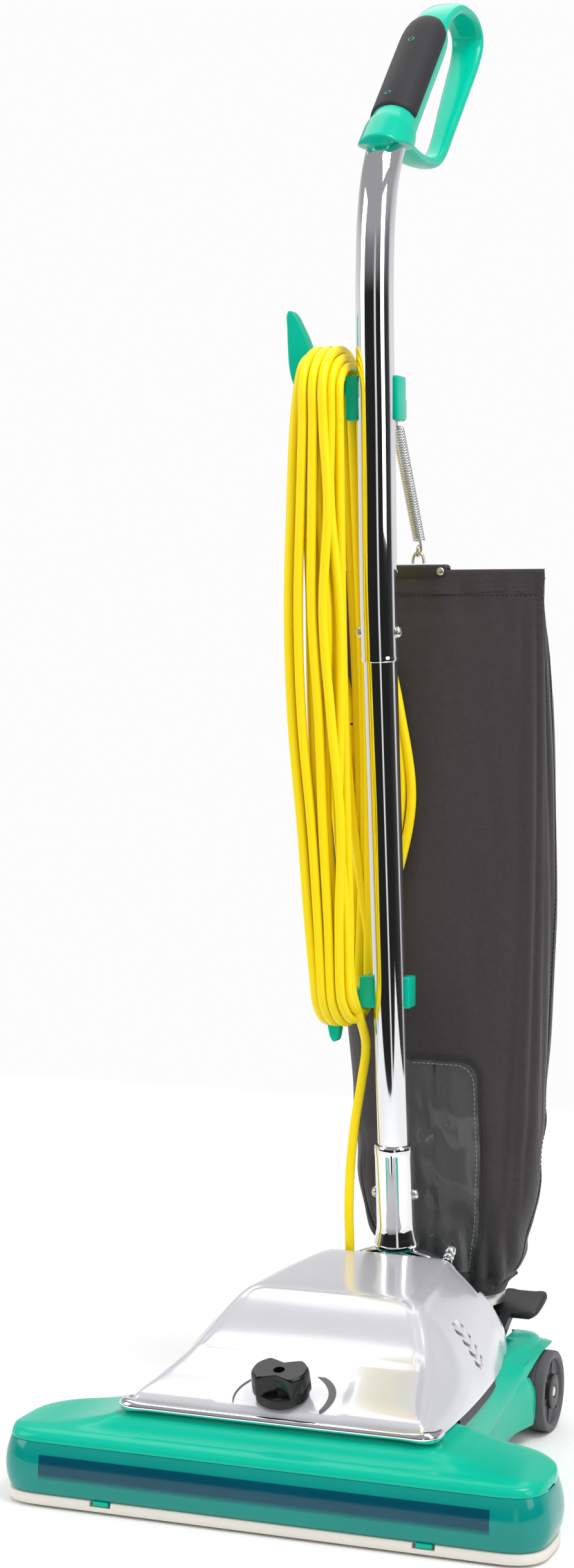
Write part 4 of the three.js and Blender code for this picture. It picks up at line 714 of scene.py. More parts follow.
for i, (p, t, s, u) in enumerate(frames(trim_path)):
    end = min(1.0, (min(i, 150 - i) + 1) / 5) ** 0.5
    d = min((p - P(k * 124, -280, 79.5)).length for k in (-1, 1)) * 1000
    w, h = (3.9 + 1.4 * math.exp(-(d / 11) ** 2)) * end, (3.3 + 1.5 * math.exp(-(d / 11) ** 2)) * end
    out = Vector((t.y, -t.x, 0)).normalized()
    rings.append([p + out * (w / 1000 * math.cos(a)) + Vector((0, 0, h / 1000 * math.sin(a))) for a in np.linspace(0, 2 * math.pi, 18, endpoint=False)])
v, f = loft(rings)
make("hood_moulding", v, f, CHROME, "base", ("hood_trim",), "chrome")

for k in (-1, 1):
    o = [raw("h", *lathe_geo([(0, -0.012), (0.0022, -0.012), (0.0022, 0), (0.0026, 0), (0.0025, 0.0002), (0, 0.0003)], P(k * 104, -262, 93.6), Vector((0, -0.29, 1)), 32), HOOD)]
    s = o[0]
    s.name = "screw_" + ("left" if k < 0 else "right")
    finish_piece(s, "base", ("hood_screw_left" if k < 0 else "hood_screw_right",), True, 35)

# height dial
KC, KN = P(0, -262, 93.2), Vector((0, -0.27, 0.963)).normalized()
KX, KY = Vector((1, 0, 0)), KN.cross(Vector((1, 0, 0)))


def on_dial(x, y, h):
    return KC + KX * (x / 1000) + KY * (y / 1000) + KN * (h / 1000)


def bow(r0, h, n=96):
    ring = []
    for j in range(n):
        a = 2 * math.pi * j / n
        c, s = math.cos(a), math.sin(a)
        w = 22.3 * (abs(c) ** 0.35) if abs(c) > 0 else 0
        x = 21.2 * math.copysign(abs(c) ** 0.55, c)
        y = (9.6 + 5.6 * min(1, abs(x) / 13.0) - max(0, (abs(x) - 14) * 0.75)) * math.copysign(abs(s) ** 0.5, s)
        ring.append(on_dial(x * r0, y * r0, h))
    return ring


rings = [bow(1.0, 6.0), bow(1.08, 7.2), bow(1.08, 12), bow(1.065, 21.5), bow(1.035, 23.8), bow(0.98, 24.9)]
v, f = loft(rings)
knob = raw("dial_knob", v, f, KNOB)
kc = raw("h", *lathe_geo([(0, 0), (0.0046, 0), (0.0046, 0.03), (0, 0.03)], on_dial(0, -1.5, 13), KN, 32), KNOB)
boolean(knob, kc)
boolean(knob, raw("n", *lathe_geo([(0, 0), (0.006, 0), (0.006, 0.009), (0, 0.009)], on_dial(0, 20, 17), KY, 24), KNOB))
base_k = raw("kb", *lathe_geo([(r / 1000, h / 1000) for r, h in [(0, -16), (6, -16), (6, 1.4), (20.6, 1.4), (21, 2.2), (20.2, 6), (19.4, 8.4), (18, 9.2), (0, 9.2)]], KC, KN, 72), KNOB)
knob = join("dial_knob", [knob, base_k])
finish_piece(knob, "dial", ("height_knob",), True, 32)


def arc(name, r0, r1, a0, a1, mat, h=0.35):
    n = 60
    top, v = [], []
    for i in range(n + 1):
        a = a0 + (a1 - a0) * i / n
        e = math.sin(math.pi * i / n) ** 0.5
        m, w = (r0 + r1) / 2, (r1 - r0) / 2 * (0.12 + 0.88 * e)
        c, s = math.cos(a), math.sin(a)
        v.append([on_dial((m - w) * c, (m - w) * s, h), on_dial((m + w) * c, (m + w) * s, h), on_dial((m + w) * c, (m + w) * s, h - 1.5), on_dial((m - w) * c, (m - w) * s, h - 1.5)])
    vv, ff = loft(v)
    make(name, vv, ff, mat, "base", (), "knob_black", angle=30)


arc("dial_scale_thick", 35.6, 41.4, -0.40, 1.2, DARKRING, 0.45)
arc("dial_scale_thin", 38.4, 39.8, 2.1, 3.5, DARKRING, 0.45)


# ---------------------------------------------------------------- rear housing, side panels, wheels
HOUSE = [(-207.6, 108, 115, 74.5, 24), (-150, 108, 116, 74.5, 26), (-90, 108, 118, 74.5, 34), (-40, 111, 122, 75, 48), (-10, 114, 125.5, 76, 60), (4, 115, 127, 76.8, 67), (18, 116, 128, 77.4, 71.2), (32, 116, 128, 77.6, 72),
         (52, 114.5, 127, 77.4, 71.4), (62, 111, 124, 76.6, 69), (67, 107, 120, 74.6, 66), (70, 101, 114, 71.4, 62)]


def house_ring(y):
    A, B, D, e = smooth_table(HOUSE, y)
    k = min(1.0, max(0.02, (D - 6.5 - e) / 13))
    e = min(e, D - 6.0)
    r = [(0, D), (A * 0.5, D), (A - 12, D), (A - 7, D - 0.3), (A - 3, D - 1.1), (A, D - 2.6), (A + 2, D - 5.2), (A + (B - 1 - A) * 0.7, D - 5.2 - (D - 5.2 - e - 12 * k) * 0.5 if k >= 1 else D - 5.2 - 0.3 * (D - 5.2 - e)), (B - 1, e + 12 * k), (B - 0.2, e + 7 * k), (B, e + 3 * k), (B, e + k), (B - 0.6, e - 0.4 * k), (B - 2, e - 1.2 * k), (111.9, e - 1.6 * k), (111.9, 12)]
    return [P(x, y, z) for x, z in r] + [P(-x, y, z) for x, z in reversed(r[1:])] + [P(0, y, 12)]


v, f = loft([house_ring(y) for y in list(np.linspace(-207.6, 60, 44)) + [63, 66, 68.5, 70]])
house = raw("rear_shell", v, f, GREEN)
boolean(house, raw("c", *box_geo(-88, 88, -230, 58, 10, 90), GREEN))
boolean(house, raw("c", *box_geo(-26, 92, 30, 66, 40, 90), GREEN))
boolean(house, raw("c", *box_geo(71.5, 86.5, 62, 76, 65, 90), GREEN))
boolean(house, raw("c", *lathe_geo([(0, -0.05), (0.0365, -0.05), (0.0365, 0.05), (0, 0.05)], P(42, 72, 72), Vector((0, 0, 1)), 64), GREEN))
fend = [(-100, 116.2, 34), (-80, 117.4, 40), (-60, 119.6, 46), (-40, 122.6, 50.5), (-24, 125.6, 54), (-12, 128.6, 50), (-7, 129.4, 44), (-6.2, 128.4, 40)]
for k in (-1, 1):
    v, f = loft([[P(k * x, y, z) for x, z in ((110, 13), (xo - 5, 13), (xo - 2, 15), (xo - 0.6, 22), (xo, ze - 8), (xo - 0.4, ze), (xo - 3, ze + 6), (110, ze + 8))] for y, xo, ze in fend])
    boolean(house, raw("fender", v, f, GREEN), "UNION")
bevel(house, 0.0008, 2, 50)
finish_piece(house, "base", ("rear_housing",), True, 35)
panel = [(-206, 10.2), (-206, 20), (-196, 21.2), (-150, 22), (-120, 24.4), (-90, 28), (-60, 34), (-40, 40), (-20, 46.6), (-6, 50.4), (2, 51.2), (7, 49.8), (11, 46), (12, 42), (12, 13.5), (10.5, 10.6), (7, 9.6), (-60, 8.8), (-200, 8.4), (-204.6, 8.8)]
for k, s in ((-1, "left"), (1, "right")):
    rings = [[P(k * x, y, z) for y, z in panel] for x in (112.6, 116.4)]
    v, f = loft(rings)
    o = raw("skirt_" + s, v, f, SIDE)
    bevel(o, 0.0012, 3, 50)
    finish_piece(o, "base", ("side_panel_" + s,), True, 40)
    # wheel: ribbed tread, recessed disc, hub
    c = P(k * 117, 30, 34.5)
    prof = [(4.3, 1.0), (8, 0.6), (27, 0.6), (30, 0.2), (33.2, 0.2), (34.1, 0.8), (34.4, 1.8), (34.4, 7.7), (33.9, 8.2), (33.9, 8.9), (34.4, 9.4), (34.4, 16.2), (34.1, 17.2), (33.3, 17.8),
            (31.5, 18.0), (29.0, 17.7), (27.6, 16.6), (26.8, 14.2), (24, 13.6), (15.5, 13.6), (14.6, 14.4), (14.2, 17.2), (13.4, 17.9), (6.4, 17.9), (5.6, 17.3), (4.9, 16.4), (4.9, 12), (4.3, 12), (4.3, 1.0)]
    v, f = lathe_geo([(r / 1000, h / 1000) for r, h in prof], c, Vector((k, 0, 0)), 96)
    wheel = raw("wheel_" + s, v, f, TREAD)
    # six shallow spokes stand in the recess of the disc
    ribs = []
    for j in range(6):
        a = j * math.pi / 3 + 0.3
        b = raw("r", *box_geo(-1.1, 1.1, 13.6, 27.4, -1.1, 1.1), TREAD)
        b.data.transform(Matrix.Translation(c + Vector((k * 0.0141, 0, 0))) @ Matrix.Rotation(a, 4, "X") @ Matrix.Translation(Vector((0, -SHIFT / 1000, 0))))
        ribs.append(b)
    wheel = join("wheel_" + s, [wheel] + ribs)
    hub = raw("hub", *lathe_geo([(r / 1000, h / 1000) for r, h in [(5.0, 12), (5.0, 18.0), (5.8, 18.5), (13.2, 18.5), (14.5, 17.8), (14.9, 14), (14.9, 12), (5.0, 12)]], c, Vector((k, 0, 0)), 64), HUB)
    wheel = join("wheel_" + s, [wheel, hub])
    finish_piece(wheel, "wheel_" + s, ("rear_wheel_" + s,), True, 32)
v, f = lathe_geo([(r / 1000, h / 1000) for r, h in [(0, -135.5), (3.2, -135.5), (4.4, -134.9), (4.8, -134), (4.8, -118.5), (4.0, -118.2), (4.0, 118.2), (4.8, 118.5), (4.8, 134), (4.4, 134.9), (3.2, 135.5), (0, 135.5)]], P(0, 30, 34.5), Vector((1, 0, 0)), 40)
make("axle_rod", v, f, STEEL, "base", ("rear_axle",), "steel", angle=32)
for k, s in ((-1, "left"), (1, "right")):
    lathe("roller_tyre_" + s, [(3, -6), (11, -6), (11.8, -5.2), (12, -4.2), (12, 4.2), (11.8, 5.2), (11, 6), (3, 6), (3, -6)], P(k * 66, -196, 12), Vector((1, 0, 0)), BELT, "roller_" + s, 56, ("front_roller_" + s,), "rubber")

# ---------------------------------------------------------------- pedal, foot switch, strain relief
deck = [(73, 88.5, 69, 101), (75, 90.0, 66.5, 104.5), (79, 91.6, 64.6, 106.6), (88, 94.4, 63.6, 107.6), (98, 97.0, 63.6, 107.6), (107, 98.8, 64.4, 107), (113, 99.4, 66.6, 105), (116, 98.8, 70, 101.6)]
rings = []
for y, z, x0, x1 in deck:
    t = 4.2
    rings.append([P(x, y, zz) for x, zz in ((x0 + 3, z), (x0 + 9, z - 0.9), (x1 - 9, z - 0.9), (x1 - 3, z), (x1 - 0.6, z - 1.2), (x1, z - t), (x1 - 1.4, z - t - 1.4), (x0 + 1.4, z - t - 1.4), (x0, z - t), (x0 + 0.6, z - 1.2))])
v, f = loft(rings)
ped = raw("pedal_deck", v, f, BLACK)
bevel(ped, 0.0011, 3, 40)
grip_ribs = []
for j in range(0):
    b = raw("r", *box_geo(74, 97, 82 + j * 5.2, 83.4 + j * 5.2, 89.0 + j * 1.45, 92.6 + j * 1.45), BLACK)
    bevel(b, 0.0004, 2)
    grip_ribs.append(b)
arm_pts = [(41, 70, 5.5), (52, 73, 5.0), (64, 79, 4.8), (74, 84, 4.4), (84, 88, 3.6)]
rings = [[P(x, y + dy, z + dz) for x, dy, dz in ((74.4, 0, h), (83.6, 0, h), (83.6, 0, -h), (74.4, 0, -h))] for y, z, h in arm_pts]
v, f = loft(rings)
arm = raw("arm", v, f, BLACK)
boss = raw("b", *lathe_geo([(0, -0.0046), (0.006, -0.0046), (0.006, 0.0046), (0, 0.0046)], P(79, 41, 70), Vector((1, 0, 0)), 40), BLACK)
pj = join("pedal_lever", [ped, arm, boss] + grip_ribs)
finish_piece(pj, "pedal", ("release_pedal",), True, 38)

SWD = Vector((0, 0.82, 0.573)).normalized()
lathe("switch_plunger", [(0, -3), (4.5, -3), (4.6, -2.6), (4.6, -0.2), (4.3, 0.3), (3.7, 0.8), (4.3, 1.3), (4.6, 1.9), (4.6, 4.9), (4.3, 5.5), (3.5, 6.2), (4.3, 6.8), (4.6, 7.4), (4.6, 12.2), (4.4, 12.9), (3.8, 13.4), (2.6, 13.7), (0, 13.8)],
      P(52, -10, 150), SWD, CHROME, "switch", 48, ("foot_switch_button",), "steel", 40)
sr = [(4.5, 0), (9.0, 0), (9.2, 0.6), (9.2, 4.4), (8.7, 5.2), (6.6, 6.2), (6.2, 7.6)]
z = 8.4
while z < 31:
    r = 6.1 - (z - 8) * 0.034
    sr += [(r, z), (r, z + 1.9), (r - 0.9, z + 2.2), (r - 0.9, z + 3.0)]
    z += 3.3
sr += [(5.25, 32.4), (5.2, 33.4), (4.9, 34), (4.5, 34), (4.5, 0)]
lathe("cord_boot", sr, P(-37, -9, 112), Vector((0, 0, 1)), BLACK, "base", 48, ("strain_relief",), "rubber", 40)

# ---------------------------------------------------------------- handle: fork, socket, tubes, bolts
LEAN = Vector((0, -0.0929, 1)).normalized()


def pole(z):
    return P(0, 0.4 - 0.0929 * (z - 245), z)


arch = [(-61.2, 14, 72), (-61.4, 13.8, 88), (-61.2, 13.4, 102), (-59.4, 12.2, 116), (-54.5, 11.0, 127), (-47, 10.2, 136), (-36, 9.4, 143.5), (-22, 8.6, 148.6), (-8, 8.1, 151.4), (0, 8, 152)]
arch = arch + [(-x, y, z) for x, y, z in reversed(arch[:-1])]
cp = catmull([P(*q) for q in arch], 120)
rings = []
for i, p in enumerate(cp):
    t = (cp[min(i + 1, 120)] - cp[max(i - 1, 0)]).normalized()
    dep = Vector((0, 1, 0))
    dep = (dep - t * dep.dot(t)).normalized()
    nor = t.cross(dep)
    ring = []
    for j in range(28):
        a = 2 * math.pi * j / 28
        c, s = math.cos(a), math.sin(a)
        ring.append(p + dep * (0.007 * math.copysign(abs(c) ** 0.55, c)) + nor * (0.0031 * math.copysign(abs(s) ** 0.7, s)))
    rings.append(ring)
v, f = loft(rings)
fork = raw("fork_bail", v, f, CHROME)
parts = [fork]
for k in (-1, 1):
    parts.append(raw("eye", *lathe_geo([(r / 1000, h / 1000) for r, h in [(4.2, 58.6), (10.2, 58.6), (11, 59.4), (11, 63.6), (10.2, 64.4), (4.2, 64.4), (4.2, 58.6)]], P(0, 14, 72), Vector((k, 0, 0)), 64), CHROME))
base_p = pole(153.4)
sock = [(14.6, 6), (14.6, 92), (15.6, 92), (16.5, 91.6), (17.1, 90.6), (17.3, 88.5), (17.3, 84), (17.1, 82.5), (17.1, 22), (17.4, 17), (18.6, 10.5), (20.2, 5.6), (20.5, 3.6), (20.0, 1.2), (18.8, 0), (14.6, 0), (14.6, 6)]
parts.append(raw("sock", *lathe_geo([(r / 1000, h / 1000) for r, h in sock], base_p, LEAN, 80), CHROME))
fork = join("fork_bail", parts)
finish_piece(fork, "handle", ("handle_fork",), True, 35)
for k, s in ((-1, "left"), (1, "right")):
    lathe("pivot_pin_" + s, [(0, 49), (3.6, 49), (4, 49.4), (4, 67), (6.6, 67), (7, 67.5), (7, 69.4), (6.4, 70.2), (4.6, 70.8), (0, 71)], P(0, 14, 72), Vector((k, 0, 0)), STEEL, "base", 48, ("fork_pin_" + s,), "steel")

v, f = lathe_geo([(0, 0), (0.0138, 0), (0.0143, 0.0004), (0.0143, 0.530), (0.0138, 0.5304), (0, 0.5304)], pole(164.6), LEAN, 96)
make("tube_lower", v, f, CHROME, "handle", ("lower_tube",), "chrome", angle=40)
up = [pole(661), pole(680), pole(700), P(0, -45.5, 760), P(0, -49.6, 860), P(0, -53.6, 940), P(0, -53.9, 985), P(0, -50.5, 1026), P(0, -41, 1061), P(0, -26, 1087), P(0, -8, 1108), P(0, 20, 1137), P(0, 48, 1166)]
pts = catmull(up, 190)
rad = [0.0159] * len(pts)
rad[0], rad[-1] = 0.0154, 0.0154
rings = tube_rings(pts, rad, 80)
v, f = loft(rings)
make("tube_upper", v, f, CHROME, "handle", ("upper_tube",), "chrome", angle=40)
d0 = (pts[1] - pts[0]).normalized()
lathe("tube_ferrule", [(14.4, 0.6), (14.5, -0.5), (15.2, -1.0), (15.9, -0.8), (16.25, 0.2), (16.25, 2.0), (15.95, 3.2), (15.9, 4.2), (14.4, 4.2), (14.4, 0.6)], pts[0], d0, CHROME, "handle", 80, (), "chrome")
for zz, rr, nd in ((201, 17.5, "socket_bolt"), (684, 16.2, "tube_bolt")):
    c = pole(zz)
    ends = []
    for k in (-1, 1):
        head = [(0, rr - 4), (4.9, rr - 4), (4.9, rr - 0.2), (5.1, rr + 0.1), (5.0, rr + 0.9), (4.4, rr + 2.3), (3.2, rr + 3.3), (1.7, rr + 3.85), (0, rr + 4)]
        ends.append(raw("h", *lathe_geo([(r / 1000, h / 1000) for r, h in head], c, Vector((k, 0, 0)), 40), BRASSY))
    o = join(nd + "_heads", ends)
    finish_piece(o, "handle", (nd,), True, 40)

# ---------------------------------------------------------------- grip
G0, GA, GN = P(0, -22, 1094), Vector((0, 0.7, 0.714)).normalized(), Vector((0, -0.714, 0.7)).normalized()
gp = [(0, -22), (20, -22), (22.2, -22), (22.5, -20), (22.5, -6), (22.4, 2), (22.3, 6), (22.0, 9.5), (21.2, 13), (20.4, 16.5), (19.8, 21), (19.6, 40), (19.5, 80), (19.5, 120), (19.4, 134), (19.0, 143), (18.0, 150), (16.2, 155.6), (13.4, 160.4), (9.6, 164), (5, 166.3), (0, 167)]
v, f = lathe_geo([(r / 1000, h / 1000) for r, h in gp], G0, GA, 96)
sleeve = raw("grip_sleeve", v, f, GREEN)
boolean(sleeve, raw("c", *box_geo(-60, 60, -80, 30, 1000, 1088.6), GREEN))
tip = bmesh.new()
bmesh.ops.create_uvsphere(tip, u_segments=40, v_segments=24, radius=1)
me = bpy.data.meshes.new("tip")
tip.to_mesh(me)
tip.free()
ball = bpy.data.objects.new("tip", me)
bpy.context.scene.collection.objects.link(ball)
me.materials.append(GREEN)
me.transform(Matrix.Translation(P(0, -42.8, 1091.5)) @ Matrix.Diagonal((0.0125, 0.0085, 0.0078, 1)))
lp = [(70, 1188), (84, 1203.5), (99, 1218), (124, 1231), (142, 1236), (160, 1237), (176, 1236), (189, 1231.5), (197, 1224), (197.5, 1214), (190, 1200), (179, 1186), (167, 1172), (140, 1140), (116, 1112), (107, 1103.5), (97, 1097), (86, 1093.2), (74, 1091.5), (40, 1090.2), (4, 1094)]
lpp = catmull([P(0, y, z) for y, z in lp], 180)
HWID = [(0, 17), (0.2, 16), (0.36, 15), (0.45, 14), (0.58, 11.8), (0.7, 9.5), (0.82, 9), (0.92, 11), (1, 12)]
HTH = [(0, 7), (0.25, 6), (0.5, 5), (0.75, 5), (1, 6)]
rings = []
for i, p in enumerate(lpp):
    u = i / 180
    t = (lpp[min(i + 1, 180)] - lpp[max(i - 1, 0)]).normalized()
    nn = Vector((1, 0, 0)).cross(t)
    w, h = smooth_table(HWID, u)[0] / 1000, smooth_table(HTH, u)[0] / 1000
    ring = []
    for j in range(36):
        a = 2 * math.pi * j / 36
        c, s = math.cos(a), math.sin(a)
        ring.append(p + Vector((1, 0, 0)) * (w * math.copysign(abs(c) ** 0.72, c)) + nn * (h * math.copysign(abs(s) ** 0.78, s)))
    rings.append(ring)
v, f = loft(rings)
loop = raw("loop", v, f, GREEN)
sleeve = boolean(sleeve, loop, "UNION")
sleeve = boolean(sleeve, ball, "UNION")
# fuse the sleeve, loop and tip into one skin by remeshing, then smooth it
rm = sleeve.modifiers.new("rm", "REMESH")
rm.mode = "VOXEL"
rm.voxel_size = 0.0011
apply_mods(sleeve)
sm = sleeve.modifiers.new("sm", "SMOOTH")
sm.factor, sm.iterations = 0.5, 7
apply_mods(sleeve)
if len(sleeve.data.materials) == 0:
    sleeve.data.materials.append(GREEN)
finish_piece(sleeve, "handle", ("grip_shell",), True, 60)

ins = [(0, 24.0), (19.2, 24.0), (20.15, 25.2), (20.4, 27.5), (20.4, 60), (20.4, 100), (20.4, 128), (20.2, 137), (19.5, 144.5), (18.2, 151), (16.0, 156.6), (13, 160.8), (9.4, 163.6), (5, 165.6), (0, 166.4)]
v, f = [], []
NS = 56
half = math.radians(76)
rows = []
for r, h in ins:
    row = []
    for j in range(NS + 1):
        a = -half + 2 * half * j / NS
        # the inlay narrows towards its two ends
        e = min(1.0, (h - 18) / 6, (168 - h) / 24) if r > 0 else 0.1
        a *= max(0.18, e) ** 0.5
        lift = 0.55 * (1 - abs(2 * j / NS - 1) ** 10)
        row.append(G0 + GA * (h / 1000) + GN * ((r + lift) / 1000 * math.cos(a)) + Vector((1, 0, 0)) * ((r + lift) / 1000 * math.sin(a)))
    rows.append(row)
verts = [p for row in rows for p in row]
faces = []
for i in range(len(rows) - 1):
    for j in range(NS):
        a = i * (NS + 1) + j
        faces.append((a, a + 1, a + NS + 2, a + NS + 1))
inlay = raw("grip_inlay", verts, faces, RUBBER)
so = inlay.modifiers.new("so", "SOLIDIFY")
so.thickness, so.offset = 0.0016, 0
apply_mods(inlay)
finish_piece(inlay, "handle", ("grip_insert",), True, 40)
for i, (h, a) in enumerate(((40, -0.22), (116, -0.10))):
    ctr = G0 + GA * (h / 1000)
    d = (GN * math.cos(a) + Vector((1, 0, 0)) * math.sin(a)).normalized()
    o = raw("boss", *lathe_geo([(r / 1000, hh / 1000) for r, hh in [(0, 16), (3.4, 16), (3.4, 20.7), (3.1, 21.4), (2.4, 21.8), (1.8, 21.6), (1.2, 21.2), (0, 21.1)]], Vector((0, 0, 0)), Vector((0, 0, 1)), 48), GREEN)
    q = d.to_track_quat("Z", "Y").to_matrix().to_4x4()
    o.data.transform(Matrix.Translation(ctr) @ q)
    o.name = "inlay_boss_%d" % (i + 1)
    finish_piece(o, "handle", (), True, 40)

# ---------------------------------------------------------------- cord hooks
def slab(name, outline_xz, y0, y1, body=None, mat=GREEN, bev=0.0016):
    rings = [[P(x, y0, z) for x, z in outline_xz], [P(x, y1, z) for x, z in outline_xz]]
    v, f = loft(rings)
    o = raw(name, v, f, mat)
    if bev:
        bevel(o, bev, 3, 30)
    return o


def smooth_outline(pts, n=60):
    c = catmull([(x, 0, z) for x, z in pts + [pts[0]]], n)
    return [(p.x, p.z) for p in c[:-1]]


def block(name, *args, mat=GREEN, bev=0.0018):
    o = raw(name, *box_geo(*args), mat)
    bevel(o, bev, 3, 30)
    return o


bore = lambda z0, z1, r: raw("bore", *lathe_geo([(0, -0.05), (r / 1000, -0.05), (r / 1000, (z1 - z0) / 1000 + 0.05), (0, (z1 - z0) / 1000 + 0.05)], P(0, -49.6 if z0 > 700 else 0.4 - 0.0929 * (z0 - 245), z0), Vector((0, -0.042, 1)) if z0 > 700 else LEAN, 64), GREEN)
hook = [block("clamp_l", -25, -7.8, -57, -29.2, 860, 897), block("clamp_r", 8.6, 19.4, -50.6, -29.2, 860, 897), block("web", -9, 10, -36.5, -29.4, 860, 896), block("arm", -63, -14, -55, -37.6, 881.5, 893.5), block("ear", -5, 16, -31, -17.2, 862, 880)]
blade = smooth_outline([(-60.5, 880.5), (-54.6, 883), (-53.8, 896), (-55, 908), (-60.5, 927), (-67, 941), (-73.2, 951.5), (-77, 954), (-79, 950), (-78.6, 938), (-78.2, 926), (-76.6, 905), (-73.4, 893), (-68, 884.5)])
hook.append(slab("blade", blade, -52.6, -39.4, bev=0.0022))
hk = hook[0]
for o in hook[1:]:
    boolean(hk, o, "UNION")
boolean(hk, bore(860, 896, 16.0))
hk.name = "cord_hook_upper"
finish_piece(hk, "handle", ("upper_cord_hook",), True, 32)
hook = [block("clamp_l", -25, -8, -20.6, 4, 364, 391), block("clamp_r", 8.6, 18.2, -14.4, 4, 364, 391), block("web", -9, 10, -1, 4.4, 364, 390), block("arm", -55, -14, -17, -0.2, 369, 379.6)]
tongue = smooth_outline([(-55.4, 379.2), (-47, 378.6), (-45.6, 366), (-45.2, 352), (-46.2, 340), (-48, 333.4), (-50.2, 331.8), (-53.4, 335), (-56.2, 346), (-57.4, 358), (-57.4, 372)])
hook.append(slab("tongue", tongue, -14.8, -2.2, bev=0.002))
hk = hook[0]
for o in hook[1:]:
    boolean(hk, o, "UNION")
boolean(hk, bore(364, 390, 14.4))
hk.name = "cord_hook_lower"
finish_piece(hk, "handle", ("lower_cord_hook",), True, 32)

# ---------------------------------------------------------------- bag spring and top clip
s0, s1 = P(6, -12.5, 857), P(6, 45, 764)
ax = (s1 - s0).normalized()
sa = Vector((1, 0, 0))
sb = ax.cross(sa)
L = (s1 - s0).length
pts = []
turns = 44
for i in range(turns * 22 + 1):
    u = i / (turns * 22)
    a = 2 * math.pi * turns * u
    pts.append(s0 + ax * (L * u) + sa * (0.0045 * math.cos(a)) + sb * (0.0045 * math.sin(a)))
coil = raw("coil", *loft(tube_rings(pts, 0.00085, 8)), STEEL)
wire = lambda q, r, seg=10: raw("w", *loft(tube_rings(catmull([P(*p) for p in q], 60), r, seg)), STEEL)
bits = [coil,
        wire([(6, -11, 855.5), (6, -15.4, 860), (6, -17.4, 865), (6, -18.4, 871), (5.6, -20.5, 876.5), (4.8, -23.5, 877.4), (4.4, -25, 874)], 0.0013),
        wire([(6, 44.4, 765), (6.6, 47.5, 760.8), (6, 50.2, 756), (5, 49, 751.5), (4.6, 45.6, 750.2), (5, 43, 752.6), (5.6, 42.4, 756.5), (6, 44.6, 759)], 0.00125)]
sp = join("bag_spring_coil", bits)
finish_piece(sp, "handle", ("bag_spring",), True, 60)
clip = block("clip", -20.4, 34.4, 37.2, 48.8, 729, 742.6, mat=BLACK, bev=0.003)
boolean(clip, raw("c", *box_geo(-40, 50, 38.4, 45.8, 727, 739), STEEL))
loopw = wire([(1, 43, 743.5), (1.4, 43, 748), (3.2, 43.2, 751.8), (6, 43.4, 753), (8.8, 43.2, 751.8), (10.6, 43, 748), (11, 43, 743.5)], 0.0014)
rivs = [raw("r", *lathe_geo([(0, 0), (0.0034, 0), (0.0034, 0.0006), (0.0026, 0.0013), (0.0012, 0.0017), (0, 0.0018)], P(x, 37.3, 736.5), Vector((0, -1, 0)), 28), STEEL) for x in (-14, 28)]
cl = join("bag_clip", [clip, loopw] + rivs)
finish_piece(cl, "handle", ("bag_top_clip",), True, 40)

# ---------------------------------------------------------------- dust bag
BAG = [(99, 12, 72, 72, 30), (105, 9.5, 74.4, 72.3, 31), (112, 5.5, 77.5, 73, 32.5), (120, -5, 81.2, 73.8, 33.8), (132, -20, 86, 74.5, 35), (159, -43, 93.5, 75, 37.5), (185, -48.5, 100, 74.8, 39), (211, -51, 106.5, 74, 40), (273, -54, 115.5, 72, 42), (341, -60, 122.0, 70, 43),
       (397, -64.4, 125.2, 68.5, 43), (464, -70, 127.6, 66.5, 41), (564, -79, 127.2, 62, 36), (640, -86, 124.6, 56, 29), (690, -90, 121.4, 50, 19.5), (714, -92, 119.6, 46, 10), (727, -92.6, 118.6, 43.2, 4.2), (738, -92.4, 118.2, 42, 2.9)]


def bag_point(u, z, out=0.0, rows=BAG):
    """u runs round the bag from its left edge, over the front (-Y), to the right edge and back."""
    l, r, yc, h = smooth_table(rows, z)
    a = 2 * math.pi * u
    c, s = -math.cos(a), -math.sin(a)
    ex = 0.86
    x = (l + r) / 2 + (r - l) / 2 * math.copysign(abs(c) ** ex, c)
    y = yc + (h + out) * math.copysign(abs(s) ** ex, s)
    return P(x, y, z)


NU, NV = 132, 112
zr = []
for i in range(NV + 1):
    u = i / NV
    zr.append(99 + (738 - 99) * u)
rings = [[bag_point(j / NU, z) for j in range(NU)] for z in zr]
verts, faces = loft(rings, cap=False)
bag = raw("bag_shell", verts, faces, CLOTH)
bag.data.materials[0] = CLOTH


def bag_wrinkle(co, n, z, x):
    """Folds that the hanging cloth has: long slanting draws from the top corners, creases at the neck, soft hollows."""
    w = 0.0
    zz = (z - 99) / 640
    q = Vector((x * 0.001, co.y, z * 0.001))
    # long, nearly upright draws
    w += 2.6 * (noise.noise(Vector((x * 0.028 + 3.1, z * 0.0042, 1.7))) ) * (0.35 + 0.65 * math.sin(math.pi * min(1, max(0, zz))))
    w += 1.5 * noise.noise(Vector((x * 0.055 + z * 0.006, z * 0.010, 7.3)))
    # gathers into the neck
    g = math.exp(-((z - 118) / 46) ** 2)
    w += 2.6 * g * math.sin(x * 0.42 + 2.2 * noise.noise(Vector((x * 0.02, z * 0.02, 0.3))))
    # short pleats under the clip bar
    t = math.exp(-((z - 716) / 26) ** 2)
    w += 1.5 * t * math.sin(x * 0.20 + 1.4)
    # slack folds across the lower third
    b = math.exp(-((z - 232) / 70) ** 2)
    w += 1.8 * b * math.sin((z + x * 0.55) * 0.085 + 2.0 * noise.noise(Vector((x * 0.013, z * 0.013, 5.1))))
    return w


# the bag hangs from its clip and its collar, with a little air left in it
me = bag.data
vg = bag.vertex_groups.new(name="pin")
for v in me.vertices:
    z = v.co.z * 1000
    w = 1.0 if (z < 108 or z > 727) else 0.0
    if 108 <= z < 116:
        w = (116 - z) / 8 * 0.8
    vg.add([v.index], w, "REPLACE")
start = [v.co.copy() for v in me.vertices]
